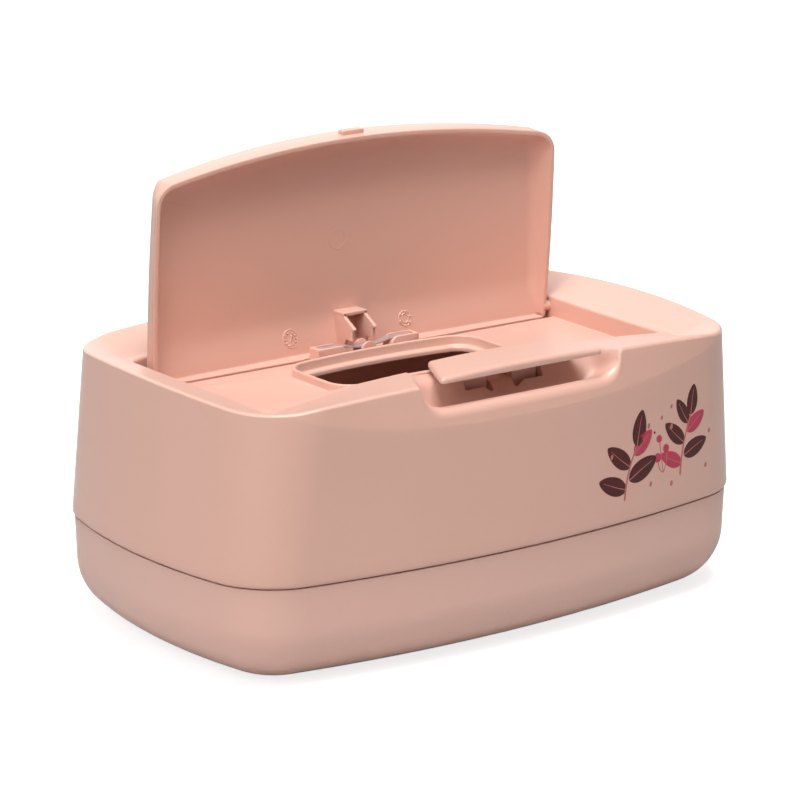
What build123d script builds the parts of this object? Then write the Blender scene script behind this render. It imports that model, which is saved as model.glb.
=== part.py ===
"""Baby wipes box with a sprung lid, standing open, in millimetres.

+X is the length, the front is -Y, +Z is up. The origin is on the ground under the middle of the body.
"""
import os
from math import cos, radians, sin

from build123d import *

os.makedirs("parts", exist_ok=True)

# Body, outside
body_length = 220.0
body_width = 141.4
seam_z = 35.2
rim_z = 92.6
wall = 2.2
end_bow = 9.2
front_bow = 11.4
back_bow = 11.5
corner_radius = 27.5

# How far the rim stands in from the seam, and its own bows
rim_end_inset = 6.3
rim_front_inset = 5.3
rim_back_inset = 3.1
rim_end_bow = 7.3
rim_front_bow = 3.4
rim_back_bow = 9.2
rim_corner_radius = 25.6
front_crown = 2.6
back_crown = -1.0
back_rise = 1.6
rim_wall = 2.6

# Tray
tray_step = 0.7
tray_draft = 0.9
tray_bottom_radius = 20.0
tray_wall = 2.2
seam_gap = 0.3
tongue_height = 5.0
tongue_wall = 1.6
tongue_root = 6.0
lip_radius = 1.5

# Feet
foot_radius = 7.0
foot_height = 1.5
foot_show = 0.5
foot_edge = 0.3
foot_seat_gap = 0.1
foot_from_end = 42.0
foot_from_side = 40.7

# Sunk top, and the strips of rim round it
end_strip = 18.5
front_strip = 22.2
back_strip = 29.4
end_draw = 2.0
recess_front_bow = 8.2
recess_corner = 3.5
deck_drop = 11.8
deck_wall = 2.2
trough_width = 12.8
trough_drop = 2.0
edge_drop = 4.9
edge_crown_front = 6.8
edge_crown_back = 4.4
front_slope = 22.0
back_slope = 26.0

# Slot collar on the deck
collar_half = 39.0
collar_width = 38.3
collar_bow = 3.2
collar_corner = 10.0
collar_height = 2.8
collar_wall = 1.5
collar_gap = 0.7
slot_lip = 2.6
slot_lip_wall = 1.6

# Lid, standing open
hinge_from_back = 9.4
hinge_rise = 3.5
lid_lean = 3.9
lid_gap = 0.7
lid_front_gap = 0.5
lid_wall = 1.6
lid_rim_ahead = 1.6
lid_rim_drop = 0.4
lid_tail = 3.9
lid_tail_radius = 3.6
lid_corner = 6.0
lid_side_depth = 6.4
lid_back_depth = 8.6
lid_front_depth = 6.0
lid_rim_crown = 6.7
stub_radius = 1.9
stub_play = 0.1
stub_reach = 2.0
stub_root = 1.0
socket_depth = 6.0
tab_width = 11.0
tab_reach = 2.0
tab_root = 1.0
tab_thickness = 1.6
tab_up = 2.0

# Spring bracket inside the lid, with its places measured from the hinge
bracket_half = 5.0
bracket_wall = 1.2
bracket_top_rise = 10.0
bracket_top_ahead = 0.3
bracket_nose_rise = 5.3
bracket_nose_ahead = 6.6
bracket_step_ahead = 5.2
bracket_step_drop = 0.8
bracket_bottom_rise = 1.0

# Leaf spring under the bracket, its blocks and the guide ears
leaf_thickness = 0.4
leaf_width = 3.4
leaf_play = 0.15
leaf_end_play = 0.6
leaf_lift = 0.05
leaf_rest_play = 0.3
leaf_sag = 1.2
leaf_slot_depth = 0.9
block_ahead = 2.9
block_depth = 5.6
block_height = 4.6
block_in = 9.5
block_out = 21.3
block_round = 3.0
block_end_wall = 1.6
tail_play_x = 1.0
tail_play_y = 2.0
ear_radius = 3.2
ear_wall = 0.9
ear_foot = 1.0
cheek_play_in = 0.7
cheek_play_out = 1.1
cheek_slot_front_gap = 0.1
cheek_slot_back_gap = 6.0

# Finger scoop under the release button
notch_back_half = 30.5
notch_front_half = 41.1
notch_level_rise = 1.7
notch_behind = 0.5
notch_ahead = 1.1
scoop_depth = 9.0
scoop_floor_draw = 8.0
scoop_corner = 6.0
bridge_wall = 2.0
bridge_rise = 0.2
tab_window_play = 0.8
tab_window = 3.4

# Release button
button_back_gap = 1.6
button_front_reach = 0.9
button_end_gap_back = 6.2
button_end_gap_front = 7.5
button_rise = 1.6
button_thickness = 1.5
button_crown = 1.2
button_edge = 0.7
crown_reach = 40.0
leg_in = 5.0
leg_out = 15.5
leg_ahead = 3.5
leg_thickness = 3.6
leg_root = 0.5
leg_play = 0.6
leg_swing = 1.6
pin_drop = 3.8
pin_radius = 1.0
pin_play = 0.05
lug_wall = 2.4
lug_margin = 0.5
boss_radius = 3.0
nose_half = 5.0
nose_reach = 0.55
nose_root = 2.0
nose_sink = 0.4
nose_thickness = 2.2

# Button return spring
coil_wire = 0.7
bend_swell = 0.06
coil_radius = 2.0
coil_turns = 5
coil_half = 3.4
arm_back = 2.0
arm_rise = 1.2
arm_front = 3.2
arm_side = 5.0

# How far a cutting solid runs past the face it opens
cut_over = 2.0

# Heights and places that follow from those above
rim_share = 1.0 / (rim_z - seam_z)
top_z = rim_z + 6.0
tray_top_z = seam_z - seam_gap
deck_z = rim_z - deck_drop
trough_z = deck_z - trough_drop
collar_z = deck_z + collar_height
block_z = deck_z + block_height
leaf_z = block_z - leaf_slot_depth
recess_edge_z = rim_z - edge_drop
scoop_floor_z = rim_z - scoop_depth
notch_level = rim_z + notch_level_rise
bridge_z = rim_z + bridge_rise
button_under_z = rim_z + button_rise
button_end_z = button_under_z + button_thickness
pin_z = scoop_floor_z - wall - pin_drop

foot_x = body_length / 2 - foot_from_end
foot_y = body_width / 2 - foot_from_side
rim_front_y = rim_front_inset - body_width / 2
recess_half = body_length / 2 - rim_end_inset - end_strip
recess_front_half = recess_half - end_draw
recess_front_y = rim_front_y + front_strip
recess_back_y = body_width / 2 - rim_back_inset - back_strip
deck_back_y = recess_back_y - trough_width

hinge_y = recess_back_y - hinge_from_back
hinge_z = deck_z + hinge_rise
lid_half = recess_half - lid_gap
lid_rim_y = hinge_y - lid_rim_ahead
lid_rim_z = hinge_z - lid_rim_drop
lid_length = hinge_y - recess_front_y - lid_front_gap
lid_back_y = lid_rim_y + lid_back_depth - lid_wall / 2
lid_plane = Plane(
    origin=(0, lid_rim_y, lid_rim_z),
    x_dir=(-1, 0, 0),
    z_dir=(0, cos(radians(lid_lean)), sin(radians(lid_lean))),
)

block_back_y = hinge_y - block_ahead
block_front_y = block_back_y - block_depth
leaf_y = (block_front_y + block_back_y) / 2
collar_back_y = block_front_y - collar_gap
collar_front_y = collar_back_y - collar_width

notch_back_y = recess_front_y - notch_behind
notch_front_y = rim_front_y + notch_ahead
button_back_half = notch_back_half - button_end_gap_back
button_front_half = notch_front_half - button_end_gap_front
button_back_y = notch_back_y - button_back_gap
button_front_y = notch_front_y - button_front_reach
nose_tip_y = button_back_y + nose_reach
leg_back_y = button_back_y - leg_ahead
pin_y = leg_back_y - leg_thickness / 2


def plan_outline(half_length, front, back, bow_front, bow_back, bow_end, radius):
    """Outline seen from above: four bowed sides with round corners."""
    with BuildSketch() as outline:
        with BuildLine():
            corner_x = half_length - bow_end
            front_y = bow_front - front
            back_y = back - bow_back
            middle_y = (front_y + back_y) / 2
            ThreePointArc((-corner_x, front_y), (0, -front), (corner_x, front_y))
            ThreePointArc((corner_x, front_y), (half_length, middle_y), (corner_x, back_y))
            ThreePointArc((corner_x, back_y), (0, back), (-corner_x, back_y))
            ThreePointArc((-corner_x, back_y), (-half_length, middle_y), (-corner_x, front_y))
        make_face()
        fillet(outline.vertices(), radius=radius)
    return outline.sketch


def housing_outline(z, inset=0.0):
    """The housing's outline at height z, drawn in by a wall where asked."""
    share = (z - seam_z) * rim_share

    def blend(low, high):
        return low + (high - low) * share

    return plan_outline(
        body_length / 2 - blend(0, rim_end_inset) - inset,
        body_width / 2 - blend(0, rim_front_inset) - inset,
        body_width / 2 - blend(0, rim_back_inset) - inset,
        blend(front_bow, rim_front_bow),
        blend(back_bow, rim_back_bow),
        blend(end_bow, rim_end_bow),
        blend(corner_radius, rim_corner_radius) - inset,
    )


def tray_outline(inset):
    """The tray's outline, drawn in by inset."""
    return plan_outline(
        body_length / 2 - inset,
        body_width / 2 - inset,
        body_width / 2 - inset,
        front_bow,
        back_bow,
        end_bow,
        corner_radius - inset,
    )


def rim_height(x, y):
    """Height of the rim: the outer edge blends down to the edge of the sunk top."""
    front_share = 0.5 - y / body_width
    along = (x / (body_length / 2)) ** 2
    outer = rim_z + back_rise * (1 - front_share)
    outer += (back_crown + (front_crown - back_crown) * front_share) * (1 - along)
    across = max(0.0, 1 - (x / recess_half) ** 2)
    edge_crown = edge_crown_back + (edge_crown_front - edge_crown_back) * front_share
    inner = recess_edge_z + edge_crown * across
    rim_end = body_length / 2 - rim_end_inset
    from_end = (rim_end - abs(x)) / (rim_end - recess_half)
    from_front = (y - rim_front_y) / front_slope
    from_back = (body_width / 2 - rim_back_inset - y) / back_slope
    depth = max(0.0, min(1.0, from_end)) * max(0.0, min(1.0, from_front, from_back))
    return outer + (inner - outer) * depth


def above_rim(drop=0.0):
    """Everything above the rim's surface, lowered by drop."""
    reach_x = body_length / 2 + 6
    reach_y = body_width / 2 + 6
    columns = 40
    rows = 30
    points = [
        [
            Vector(x, y, rim_height(x, y) - drop)
            for y in (reach_y * (2 * row / rows - 1) for row in range(rows + 1))
        ]
        for x in (reach_x * (2 * column / columns - 1) for column in range(columns + 1))
    ]
    surface = Face.make_surface_from_array_of_points(points, tol=0.03)
    return extrude(surface, amount=30, dir=(0, 0, 1), mode=Mode.PRIVATE)


def recess_outline(grow=0.0):
    """Outline of the sunk top, grown outwards by a wall where asked."""
    with BuildSketch() as outline:
        with BuildLine():
            side = recess_half + grow
            front_side = recess_front_half + grow
            corner_y = recess_front_y + recess_front_bow - grow
            Polyline((-front_side, corner_y), (-side, recess_back_y + grow), (side, recess_back_y + grow),
                     (front_side, corner_y))
            ThreePointArc((front_side, corner_y), (0, recess_front_y - grow), (-front_side, corner_y))
        make_face()
        fillet(outline.vertices().sort_by(Axis.Y)[:2], radius=recess_corner + grow)
    return outline.sketch


def collar_outline(inset):
    """Outline of the slot collar, drawn in by inset."""
    with BuildSketch() as outline:
        with BuildLine():
            side = collar_half - inset
            front_y = collar_front_y + inset
            back_y = collar_back_y - inset
            Polyline((-side, back_y - collar_bow), (-side, front_y), (side, front_y),
                     (side, back_y - collar_bow))
            ThreePointArc((side, back_y - collar_bow), (0, back_y), (-side, back_y - collar_bow))
        make_face()
        fillet(outline.vertices(), radius=collar_corner - inset)
    return outline.sketch


def notch_half(y):
    """Half width of the notch in the front rim at depth y."""
    share = (y - notch_back_y) / (notch_front_y - notch_back_y)
    return notch_back_half + (notch_front_half - notch_back_half) * share


def scoop_section(y, grow=0.0):
    """Front view of the finger scoop at depth y, grown outwards by a wall where asked."""
    top = notch_half(y) + grow + scoop_floor_draw * (top_z - notch_level) / (notch_level - scoop_floor_z)
    floor_z = scoop_floor_z - grow
    floor = notch_half(y) - scoop_floor_draw + grow
    with BuildSketch(Plane.XZ.offset(-y)) as section:
        with BuildLine():
            Polyline((-top, top_z), (-floor, floor_z), (floor, floor_z), (top, top_z), close=True)
        make_face()
        fillet(section.vertices().group_by(Axis.Z)[0], radius=scoop_corner)
    return section.sketch


def scoop_space(back_y, grow=0.0):
    """Room of the finger scoop from back_y out through the front wall."""
    front_y = -body_width / 2 - 5
    return loft([scoop_section(back_y, grow), scoop_section(front_y, grow)], ruled=True, mode=Mode.PRIVATE)


# Tray with its tongue, which the housing slides over
with BuildPart() as base_tray:
    with BuildSketch(Plane.XY.offset(foot_show)):
        add(tray_outline(tray_step + tray_draft))
    with BuildSketch(Plane.XY.offset(tray_top_z)):
        add(tray_outline(tray_step))
    loft(ruled=True)
    fillet(base_tray.faces().sort_by(Axis.Z)[0].edges(), radius=tray_bottom_radius)
    with BuildPart(mode=Mode.PRIVATE) as tray_inside:
        with BuildSketch(Plane.XY.offset(foot_show + tray_wall)):
            add(tray_outline(tray_step + tray_draft + tray_wall))
        with BuildSketch(Plane.XY.offset(tray_top_z + 1)):
            add(tray_outline(tray_step + tray_wall))
        loft(ruled=True)
        fillet(tray_inside.faces().sort_by(Axis.Z)[0].edges(), radius=tray_bottom_radius - tray_wall)
    add(tray_inside.part, mode=Mode.SUBTRACT)
    tongue_inset = wall + seam_gap + rim_end_inset * tongue_height * rim_share
    with BuildSketch(Plane.XY.offset(tray_top_z - tongue_root)):
        add(tray_outline(tray_step + tray_wall / 2))
        add(tray_outline(tongue_inset + tongue_wall), mode=Mode.SUBTRACT)
    extrude(amount=tongue_root)
    with BuildSketch(Plane.XY.offset(tray_top_z)):
        add(tray_outline(tongue_inset))
        add(tray_outline(tongue_inset + tongue_wall), mode=Mode.SUBTRACT)
    extrude(amount=tongue_height)
    with BuildSketch(Plane.XY.offset(foot_show)):
        with GridLocations(2 * foot_x, 2 * foot_y, 2, 2):
            Circle(foot_radius + foot_seat_gap)
    extrude(amount=foot_height - foot_show, mode=Mode.SUBTRACT)
base_tray.part.label = "base_tray"
export_step(base_tray.part, "parts/base_tray.step")

# Anti-slip feet, set in round seats under the tray
foot_places = [(x, y) for y in (-foot_y, foot_y) for x in (-foot_x, foot_x)]
for number, (x, y) in enumerate(foot_places, start=1):
    with BuildPart() as foot:
        with BuildSketch():
            with Locations((x, y)):
                Circle(foot_radius)
        extrude(amount=foot_height)
        fillet(foot.edges().group_by(Axis.Z)[0], radius=foot_edge)
    foot.part.label = f"foot_{number}"
    export_step(foot.part, f"parts/foot_{number}.step")

# Housing: outer shell, sunk top, collar, scoop and the spring's blocks in one moulding
with BuildPart() as housing:
    for height in (seam_z, top_z):
        with BuildSketch(Plane.XY.offset(height)):
            add(housing_outline(height))
    loft(ruled=True)
    fillet(housing.edges().group_by(Axis.Z)[0], radius=lip_radius)
    add(above_rim(), mode=Mode.SUBTRACT)

    # Room inside, kept off the walls of the sunk top and of the scoop
    with BuildPart(mode=Mode.PRIVATE) as room:
        for height in (seam_z - 1, top_z):
            with BuildSketch(Plane.XY.offset(height)):
                add(housing_outline(height, wall))
        loft(ruled=True)
        add(above_rim(rim_wall), mode=Mode.SUBTRACT)
        with BuildSketch(Plane.XY.offset(deck_z - deck_wall)):
            add(recess_outline(wall))
        extrude(amount=30, mode=Mode.SUBTRACT)
        with BuildSketch(Plane.XY.offset(trough_z - deck_wall)):
            with Locations((0, (deck_back_y + recess_back_y) / 2)):
                Rectangle(2 * (recess_half + wall), trough_width + 2 * wall)
        extrude(amount=10, mode=Mode.SUBTRACT)
        add(scoop_space(notch_back_y, wall), mode=Mode.SUBTRACT)
    add(room.part, mode=Mode.SUBTRACT)

    # Sunk top
    with BuildSketch(Plane.XY.offset(deck_z)):
        add(recess_outline())
    extrude(amount=30, mode=Mode.SUBTRACT)
    with BuildSketch(Plane.XY.offset(trough_z)):
        with Locations((0, (deck_back_y + recess_back_y) / 2)):
            Rectangle(2 * recess_half, trough_width)
    extrude(amount=10, mode=Mode.SUBTRACT)

    # Collar and slot
    with BuildSketch(Plane.XY.offset(deck_z - deck_wall)):
        add(collar_outline(0))
    extrude(amount=collar_height + deck_wall)
    with BuildSketch(Plane.XY.offset(deck_z - deck_wall + slot_lip_wall)):
        add(collar_outline(collar_wall))
    extrude(amount=20, mode=Mode.SUBTRACT)
    with BuildSketch(Plane.XY.offset(deck_z - deck_wall - cut_over)):
        add(collar_outline(collar_wall + slot_lip))
    extrude(amount=20, mode=Mode.SUBTRACT)

    # Finger scoop and the notch over it, with a low bridge behind
    add(scoop_space(notch_back_y - bridge_wall), mode=Mode.SUBTRACT)
    with BuildSketch(Plane.XY.offset(bridge_z)):
        with Locations((0, notch_back_y - bridge_wall / 2)):
            Rectangle(2 * notch_back_half, bridge_wall + 2 * cut_over)
    extrude(amount=20, mode=Mode.SUBTRACT)
    with BuildSketch(Plane.XY.offset(bridge_z - tab_window)):
        with Locations((0, notch_back_y - bridge_wall / 2)):
            Rectangle(tab_width + 2 * tab_window_play, bridge_wall + 2 * cut_over)
    extrude(amount=20, mode=Mode.SUBTRACT)

    # Slots for the button's legs, and lugs for its pin
    slot_depth = leg_thickness + leg_play + leg_swing
    with BuildSketch(Plane.XY.offset(scoop_floor_z - wall - cut_over)):
        for side in (-1, 1):
            with Locations((side * (leg_in + leg_out) / 2, leg_back_y + leg_play - slot_depth / 2)):
                Rectangle(leg_out - leg_in + 2 * leg_play, slot_depth)
    extrude(amount=wall + 2 * cut_over, mode=Mode.SUBTRACT)
    for side in (-1, 1):
        with BuildSketch(Plane.YZ.offset(side * (leg_out + leg_play + lug_wall / 2))):
            with Locations((pin_y, (pin_z + scoop_floor_z - wall / 2) / 2)):
                Rectangle(2 * (boss_radius + lug_margin), scoop_floor_z - wall / 2 - pin_z)
            with Locations((pin_y, pin_z)):
                Circle(boss_radius + lug_margin)
            with Locations((pin_y, pin_z)):
                Circle(pin_radius + pin_play, mode=Mode.SUBTRACT)
        extrude(amount=lug_wall / 2, both=True)

    # Spring blocks, guide ears and the slots that let the bracket's cheeks through
    with BuildSketch(Plane.XY.offset(trough_z - deck_wall)):
        with Locations((0, (block_front_y + block_back_y) / 2)):
            Rectangle(2 * block_out, block_depth)
    extrude(amount=deck_z - trough_z + deck_wall)
    round_in = block_round * (1 - cos(radians(45)))
    for side in (-1, 1):
        with BuildSketch(Plane.XZ.offset(-block_back_y)):
            with BuildLine():
                Polyline((side * (block_in + block_round), block_z), (side * block_out, block_z),
                         (side * block_out, deck_z), (side * block_in, deck_z),
                         (side * block_in, block_z - block_round))
                ThreePointArc((side * block_in, block_z - block_round),
                              (side * (block_in + round_in), block_z - round_in),
                              (side * (block_in + block_round), block_z))
            make_face()
        extrude(amount=block_depth)
    with BuildSketch(Plane.XY.offset(leaf_z)):
        with Locations((0, leaf_y)):
            Rectangle(2 * (block_out - block_end_wall), leaf_width + 2 * leaf_play)
    extrude(amount=leaf_slot_depth + cut_over, mode=Mode.SUBTRACT)
    for ear_y in (block_back_y, block_front_y + ear_wall):
        with BuildSketch(Plane.XZ.offset(-ear_y)):
            with Locations((0, block_z - ear_radius)):
                Circle(ear_radius)
            with Locations((0, deck_z + ear_foot / 2)):
                Rectangle(2 * ear_radius, ear_foot)
        extrude(amount=ear_wall)
    cheek_slot_in = bracket_half - bracket_wall - cheek_play_in
    cheek_slot_out = bracket_half + cheek_play_out
    cheek_slot_x = (cheek_slot_in + cheek_slot_out) / 2
    cheek_slot_front_y = collar_back_y + cheek_slot_front_gap
    cheek_slot_back_y = recess_back_y - cheek_slot_back_gap
    with BuildSketch(Plane.XY.offset(trough_z - deck_wall - cut_over)):
        for side in (-1, 1):
            with Locations((side * cheek_slot_x, (cheek_slot_front_y + cheek_slot_back_y) / 2)):
                Rectangle(cheek_slot_out - cheek_slot_in, cheek_slot_back_y - cheek_slot_front_y)
    extrude(amount=trough_drop + deck_wall + 2 * cut_over, mode=Mode.SUBTRACT)

    # Sockets for the lid's pivot stubs
    with BuildSketch(Plane.YZ.offset(-recess_half - socket_depth)):
        with Locations((hinge_y, hinge_z)):
            Circle(stub_radius + stub_play)
    extrude(amount=2 * (recess_half + socket_depth), mode=Mode.SUBTRACT)
housing.part.label = "housing"
export_step(housing.part, "parts/housing.step")


def lid_outline(inset, tail):
    """Outline of the lid in its own plane, drawn in by inset, with the tail end at -tail."""
    with BuildSketch() as outline:
        with BuildLine():
            back = lid_half - inset
            front = lid_half - end_draw - inset
            corner_s = lid_length - recess_front_bow - inset
            Polyline((-front, corner_s), (-back, -tail), (back, -tail), (front, corner_s))
            ThreePointArc((front, corner_s), (0, lid_length - inset), (-front, corner_s))
        make_face()
        fillet(outline.vertices().sort_by(Axis.Y)[-2:], radius=lid_corner - inset)
    return outline.sketch


def arch_section(at, side_depth, middle_depth, foot_crown, low):
    """Cross-section of the arched slab, square to the lid's length, at distance at from the hinge."""
    plane = Plane(
        origin=lid_plane.from_local_coords((0, at, 0)),
        x_dir=lid_plane.x_dir,
        z_dir=lid_plane.y_dir * -1,
    )
    reach = recess_half + 2 * cut_over
    with BuildSketch(plane) as section:
        with BuildLine():
            Line((-reach, side_depth), (-reach, low))
            ThreePointArc((-reach, low), (0, low + foot_crown), (reach, low))
            Line((reach, low), (reach, side_depth))
            ThreePointArc((reach, side_depth), (0, middle_depth), (-reach, side_depth))
        make_face()
    return section.sketch


def arched_slab(inset, low):
    """Space between the rim's arch and the outer arch of the lid, drawn in by inset."""
    back_at = -2 * lid_tail
    front_at = lid_length + 2 * cut_over
    back_depth = lid_back_depth - inset
    front_depth = lid_front_depth + lid_rim_crown - inset
    side = lid_side_depth - inset
    slope = (front_depth - back_depth) / lid_length
    flat_crown = 0.05
    front_crown_at = lid_rim_crown * front_at / lid_length
    return loft(
        [
            arch_section(back_at, side, back_depth + slope * back_at, flat_crown, low),
            arch_section(front_at, side, front_depth + slope * 2 * cut_over, front_crown_at, low),
        ],
        ruled=True,
        mode=Mode.PRIVATE,
    )


# Lid, modelled in its open place
with BuildPart() as lid:
    slab = lid_back_depth + lid_front_depth + lid_rim_crown
    with BuildSketch(lid_plane.offset(-cut_over)):
        add(lid_outline(0, lid_tail))
    extrude(amount=slab + cut_over)
    add(arched_slab(0, 0), mode=Mode.INTERSECT)
    tail_face = lid.faces().sort_by(Axis.Z)[0]
    fillet(tail_face.edges().sort_by(Axis.Y)[-1], radius=lid_tail_radius)
    with BuildPart(mode=Mode.PRIVATE) as lid_inside:
        with BuildSketch(lid_plane.offset(-2 * cut_over)):
            add(lid_outline(lid_wall, lid_tail - lid_wall))
        extrude(amount=slab + 2 * cut_over)
        add(arched_slab(lid_wall, -3 * cut_over), mode=Mode.INTERSECT)
    add(lid_inside.part, mode=Mode.SUBTRACT)

    # Room for the spring blocks in the tail flange
    with BuildSketch(Plane.XY.offset(trough_z - cut_over)):
        with Locations((0, block_back_y + tail_play_y - trough_width / 2)):
            Rectangle(2 * (block_out + tail_play_x), trough_width)
    extrude(amount=block_z - trough_z + 2 * cut_over, mode=Mode.SUBTRACT)

    # Latch tab on the front edge
    with BuildSketch(lid_plane.offset(lid_rim_crown + tab_up)):
        with Locations((0, lid_length + (tab_reach - tab_root) / 2)):
            Rectangle(tab_width, tab_reach + tab_root)
    extrude(amount=tab_thickness)

    # Pivot stubs
    for side in (-1, 1):
        with BuildSketch(Plane.YZ.offset(side * (lid_half - stub_root))):
            with Locations((hinge_y, hinge_z)):
                Circle(stub_radius)
        extrude(amount=side * (stub_root + lid_gap + stub_reach))

    # Bracket that bears on the leaf spring
    cheek_x = bracket_half - bracket_wall / 2
    top_y = hinge_y - bracket_top_ahead
    nose_y = hinge_y - bracket_nose_ahead
    step_y = hinge_y - bracket_step_ahead
    bracket_top_z = hinge_z + bracket_top_rise
    nose_z = hinge_z + bracket_nose_rise
    bottom_z = hinge_z + bracket_bottom_rise
    for side in (-1, 1):
        with BuildSketch(Plane.YZ.offset(side * cheek_x)):
            with BuildLine():
                Polyline((lid_back_y, bracket_top_z), (top_y, bracket_top_z),
                         (top_y, bracket_top_z - bracket_wall), (nose_y, nose_z),
                         (step_y, nose_z - bracket_step_drop), (step_y, bottom_z),
                         (lid_back_y, bottom_z), close=True)
            make_face()
        extrude(amount=bracket_wall / 2, both=True)
    with BuildSketch(Plane.XY.offset(bracket_top_z - bracket_wall)):
        with Locations((0, (lid_back_y + top_y) / 2)):
            Rectangle(2 * bracket_half, lid_back_y - top_y)
    extrude(amount=bracket_wall)
lid.part.label = "lid"
export_step(lid.part, "parts/lid.step")

# Leaf spring, held at both ends and sagging a little between the blocks
with BuildPart() as leaf_spring:
    leaf_half = block_out - block_end_wall - leaf_end_play
    rest_x = block_in - leaf_rest_play
    under_z = leaf_z + leaf_lift
    over_z = under_z + leaf_thickness
    sag_z = leaf_z - leaf_sag
    with BuildSketch(Plane.XZ.offset(-leaf_y)):
        with BuildLine():
            Line((-leaf_half, under_z), (-rest_x, under_z))
            ThreePointArc((-rest_x, under_z), (0, sag_z), (rest_x, under_z))
            Polyline((rest_x, under_z), (leaf_half, under_z), (leaf_half, over_z), (rest_x, over_z))
            ThreePointArc((rest_x, over_z), (0, sag_z + leaf_thickness), (-rest_x, over_z))
            Polyline((-rest_x, over_z), (-leaf_half, over_z), (-leaf_half, under_z))
        make_face()
    extrude(amount=leaf_width / 2, both=True)
leaf_spring.part.label = "leaf_spring"
export_step(leaf_spring.part, "parts/leaf_spring.step")

# Release button: plate, two legs down to the pin and a nose over the lid's tab
with BuildPart() as release_button:
    with BuildSketch(Plane.XY.offset(button_under_z)):
        with BuildLine():
            Polyline((-button_back_half, button_back_y), (-button_front_half, button_front_y),
                     (button_front_half, button_front_y), (button_back_half, button_back_y), close=True)
        make_face()
    extrude(amount=button_thickness + button_crown + cut_over)
    with BuildSketch(Plane.XZ.offset(cut_over - button_front_y)):
        with BuildLine():
            low_z = button_under_z - cut_over
            Polyline((-crown_reach, button_end_z), (-crown_reach, low_z), (crown_reach, low_z),
                     (crown_reach, button_end_z))
            ThreePointArc((crown_reach, button_end_z), (0, button_end_z + button_crown),
                          (-crown_reach, button_end_z))
        make_face()
    extrude(amount=button_front_y - button_back_y - 2 * cut_over, mode=Mode.INTERSECT)
    fillet(release_button.edges(), radius=button_edge)
    for side in (-1, 1):
        with BuildSketch(Plane.YZ.offset(side * leg_in)):
            with Locations((leg_back_y - leg_thickness / 2, (pin_z + button_under_z + leg_root) / 2)):
                Rectangle(leg_thickness, button_under_z + leg_root - pin_z)
            with Locations((pin_y, pin_z)):
                Circle(boss_radius)
        extrude(amount=side * (leg_out - leg_in))
    with BuildSketch(Plane.XY.offset(button_under_z - nose_thickness + nose_sink)):
        with Locations((0, (nose_tip_y + button_back_y - nose_root) / 2)):
            Rectangle(2 * nose_half, nose_tip_y - button_back_y + nose_root)
    extrude(amount=nose_thickness)
    with BuildSketch(Plane.YZ.offset(-leg_out - cut_over)):
        with Locations((pin_y, pin_z)):
            Circle(pin_radius + pin_play)
    extrude(amount=2 * (leg_out + cut_over), mode=Mode.SUBTRACT)
release_button.part.label = "release_button"
export_step(release_button.part, "parts/release_button.step")

# Pin of the button
with BuildPart() as button_pin:
    pin_half = leg_out + leg_play + lug_wall
    with BuildSketch(Plane.YZ.offset(-pin_half)):
        with Locations((pin_y, pin_z)):
            Circle(pin_radius)
    extrude(amount=2 * pin_half)
button_pin.part.label = "button_pin"
export_step(button_pin.part, "parts/button_pin.step")

# Torsion spring on the pin: one arm under the scoop floor, the other bent across the front of a leg
coil_top_z = pin_z + coil_radius
arm_paths = [
    [(-coil_half, pin_y, coil_top_z), (-coil_half, pin_y + arm_back, coil_top_z),
     (-coil_half, pin_y + arm_back, coil_top_z + arm_rise)],
    [(coil_half, pin_y, coil_top_z), (coil_half, pin_y - arm_front, coil_top_z),
     (coil_half + arm_side, pin_y - arm_front, coil_top_z)],
]
with BuildPart() as button_spring:
    with BuildLine() as coil:
        Helix(pitch=2 * coil_half / coil_turns, height=2 * coil_half, radius=coil_radius,
              center=(-coil_half, pin_y, pin_z), direction=(1, 0, 0))
    with BuildSketch(Plane(origin=coil.line @ 0, z_dir=coil.line % 0)):
        Circle(coil_wire / 2)
    sweep(is_frenet=True)
    for path in arm_paths:
        for start, end in zip(path, path[1:]):
            with Locations(start):
                Sphere(coil_wire / 2 + bend_swell)
            reach = Vector(*end) - Vector(*start)
            with BuildSketch(Plane(origin=start, z_dir=reach)):
                Circle(coil_wire / 2)
            extrude(amount=reach.length)
button_spring.part.label = "button_spring"
export_step(button_spring.part, "parts/button_spring.step")
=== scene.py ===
"""Looks of the baby wipes box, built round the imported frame. Shapes are worked out in millimetres."""
from math import cos, pi, radians, sin, sqrt

import bmesh
import bpy
import numpy as np
from mathutils import Matrix, Vector


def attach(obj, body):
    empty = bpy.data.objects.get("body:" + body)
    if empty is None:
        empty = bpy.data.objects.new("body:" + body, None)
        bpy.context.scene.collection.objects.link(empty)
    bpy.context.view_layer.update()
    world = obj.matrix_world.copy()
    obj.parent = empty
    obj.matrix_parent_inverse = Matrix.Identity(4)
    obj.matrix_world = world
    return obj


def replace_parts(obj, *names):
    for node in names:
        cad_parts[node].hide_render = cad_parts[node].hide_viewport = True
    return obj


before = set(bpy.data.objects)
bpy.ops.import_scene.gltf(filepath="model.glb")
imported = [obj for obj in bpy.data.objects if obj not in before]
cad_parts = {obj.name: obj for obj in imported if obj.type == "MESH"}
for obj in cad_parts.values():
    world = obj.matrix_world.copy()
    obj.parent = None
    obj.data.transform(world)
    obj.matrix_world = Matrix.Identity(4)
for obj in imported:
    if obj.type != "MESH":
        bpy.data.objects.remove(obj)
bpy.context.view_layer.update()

# Sizes shared with the frame, in millimetres
SEAM_Z, RIM_Z = 35.2, 92.6
HALF_LENGTH, HALF_WIDTH = 110.0, 70.7
WALL = 2.2
# How far each side bows out, and how far the rim lies inside the seam: front, back, ends
SEAM_BOWS, RIM_BOWS = (11.4, 11.5, 9.2), (3.4, 9.2, 7.3)
RIM_INSETS = (5.3, 3.1, 6.3)
SEAM_CORNER, RIM_CORNER = 27.5, 25.6
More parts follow.
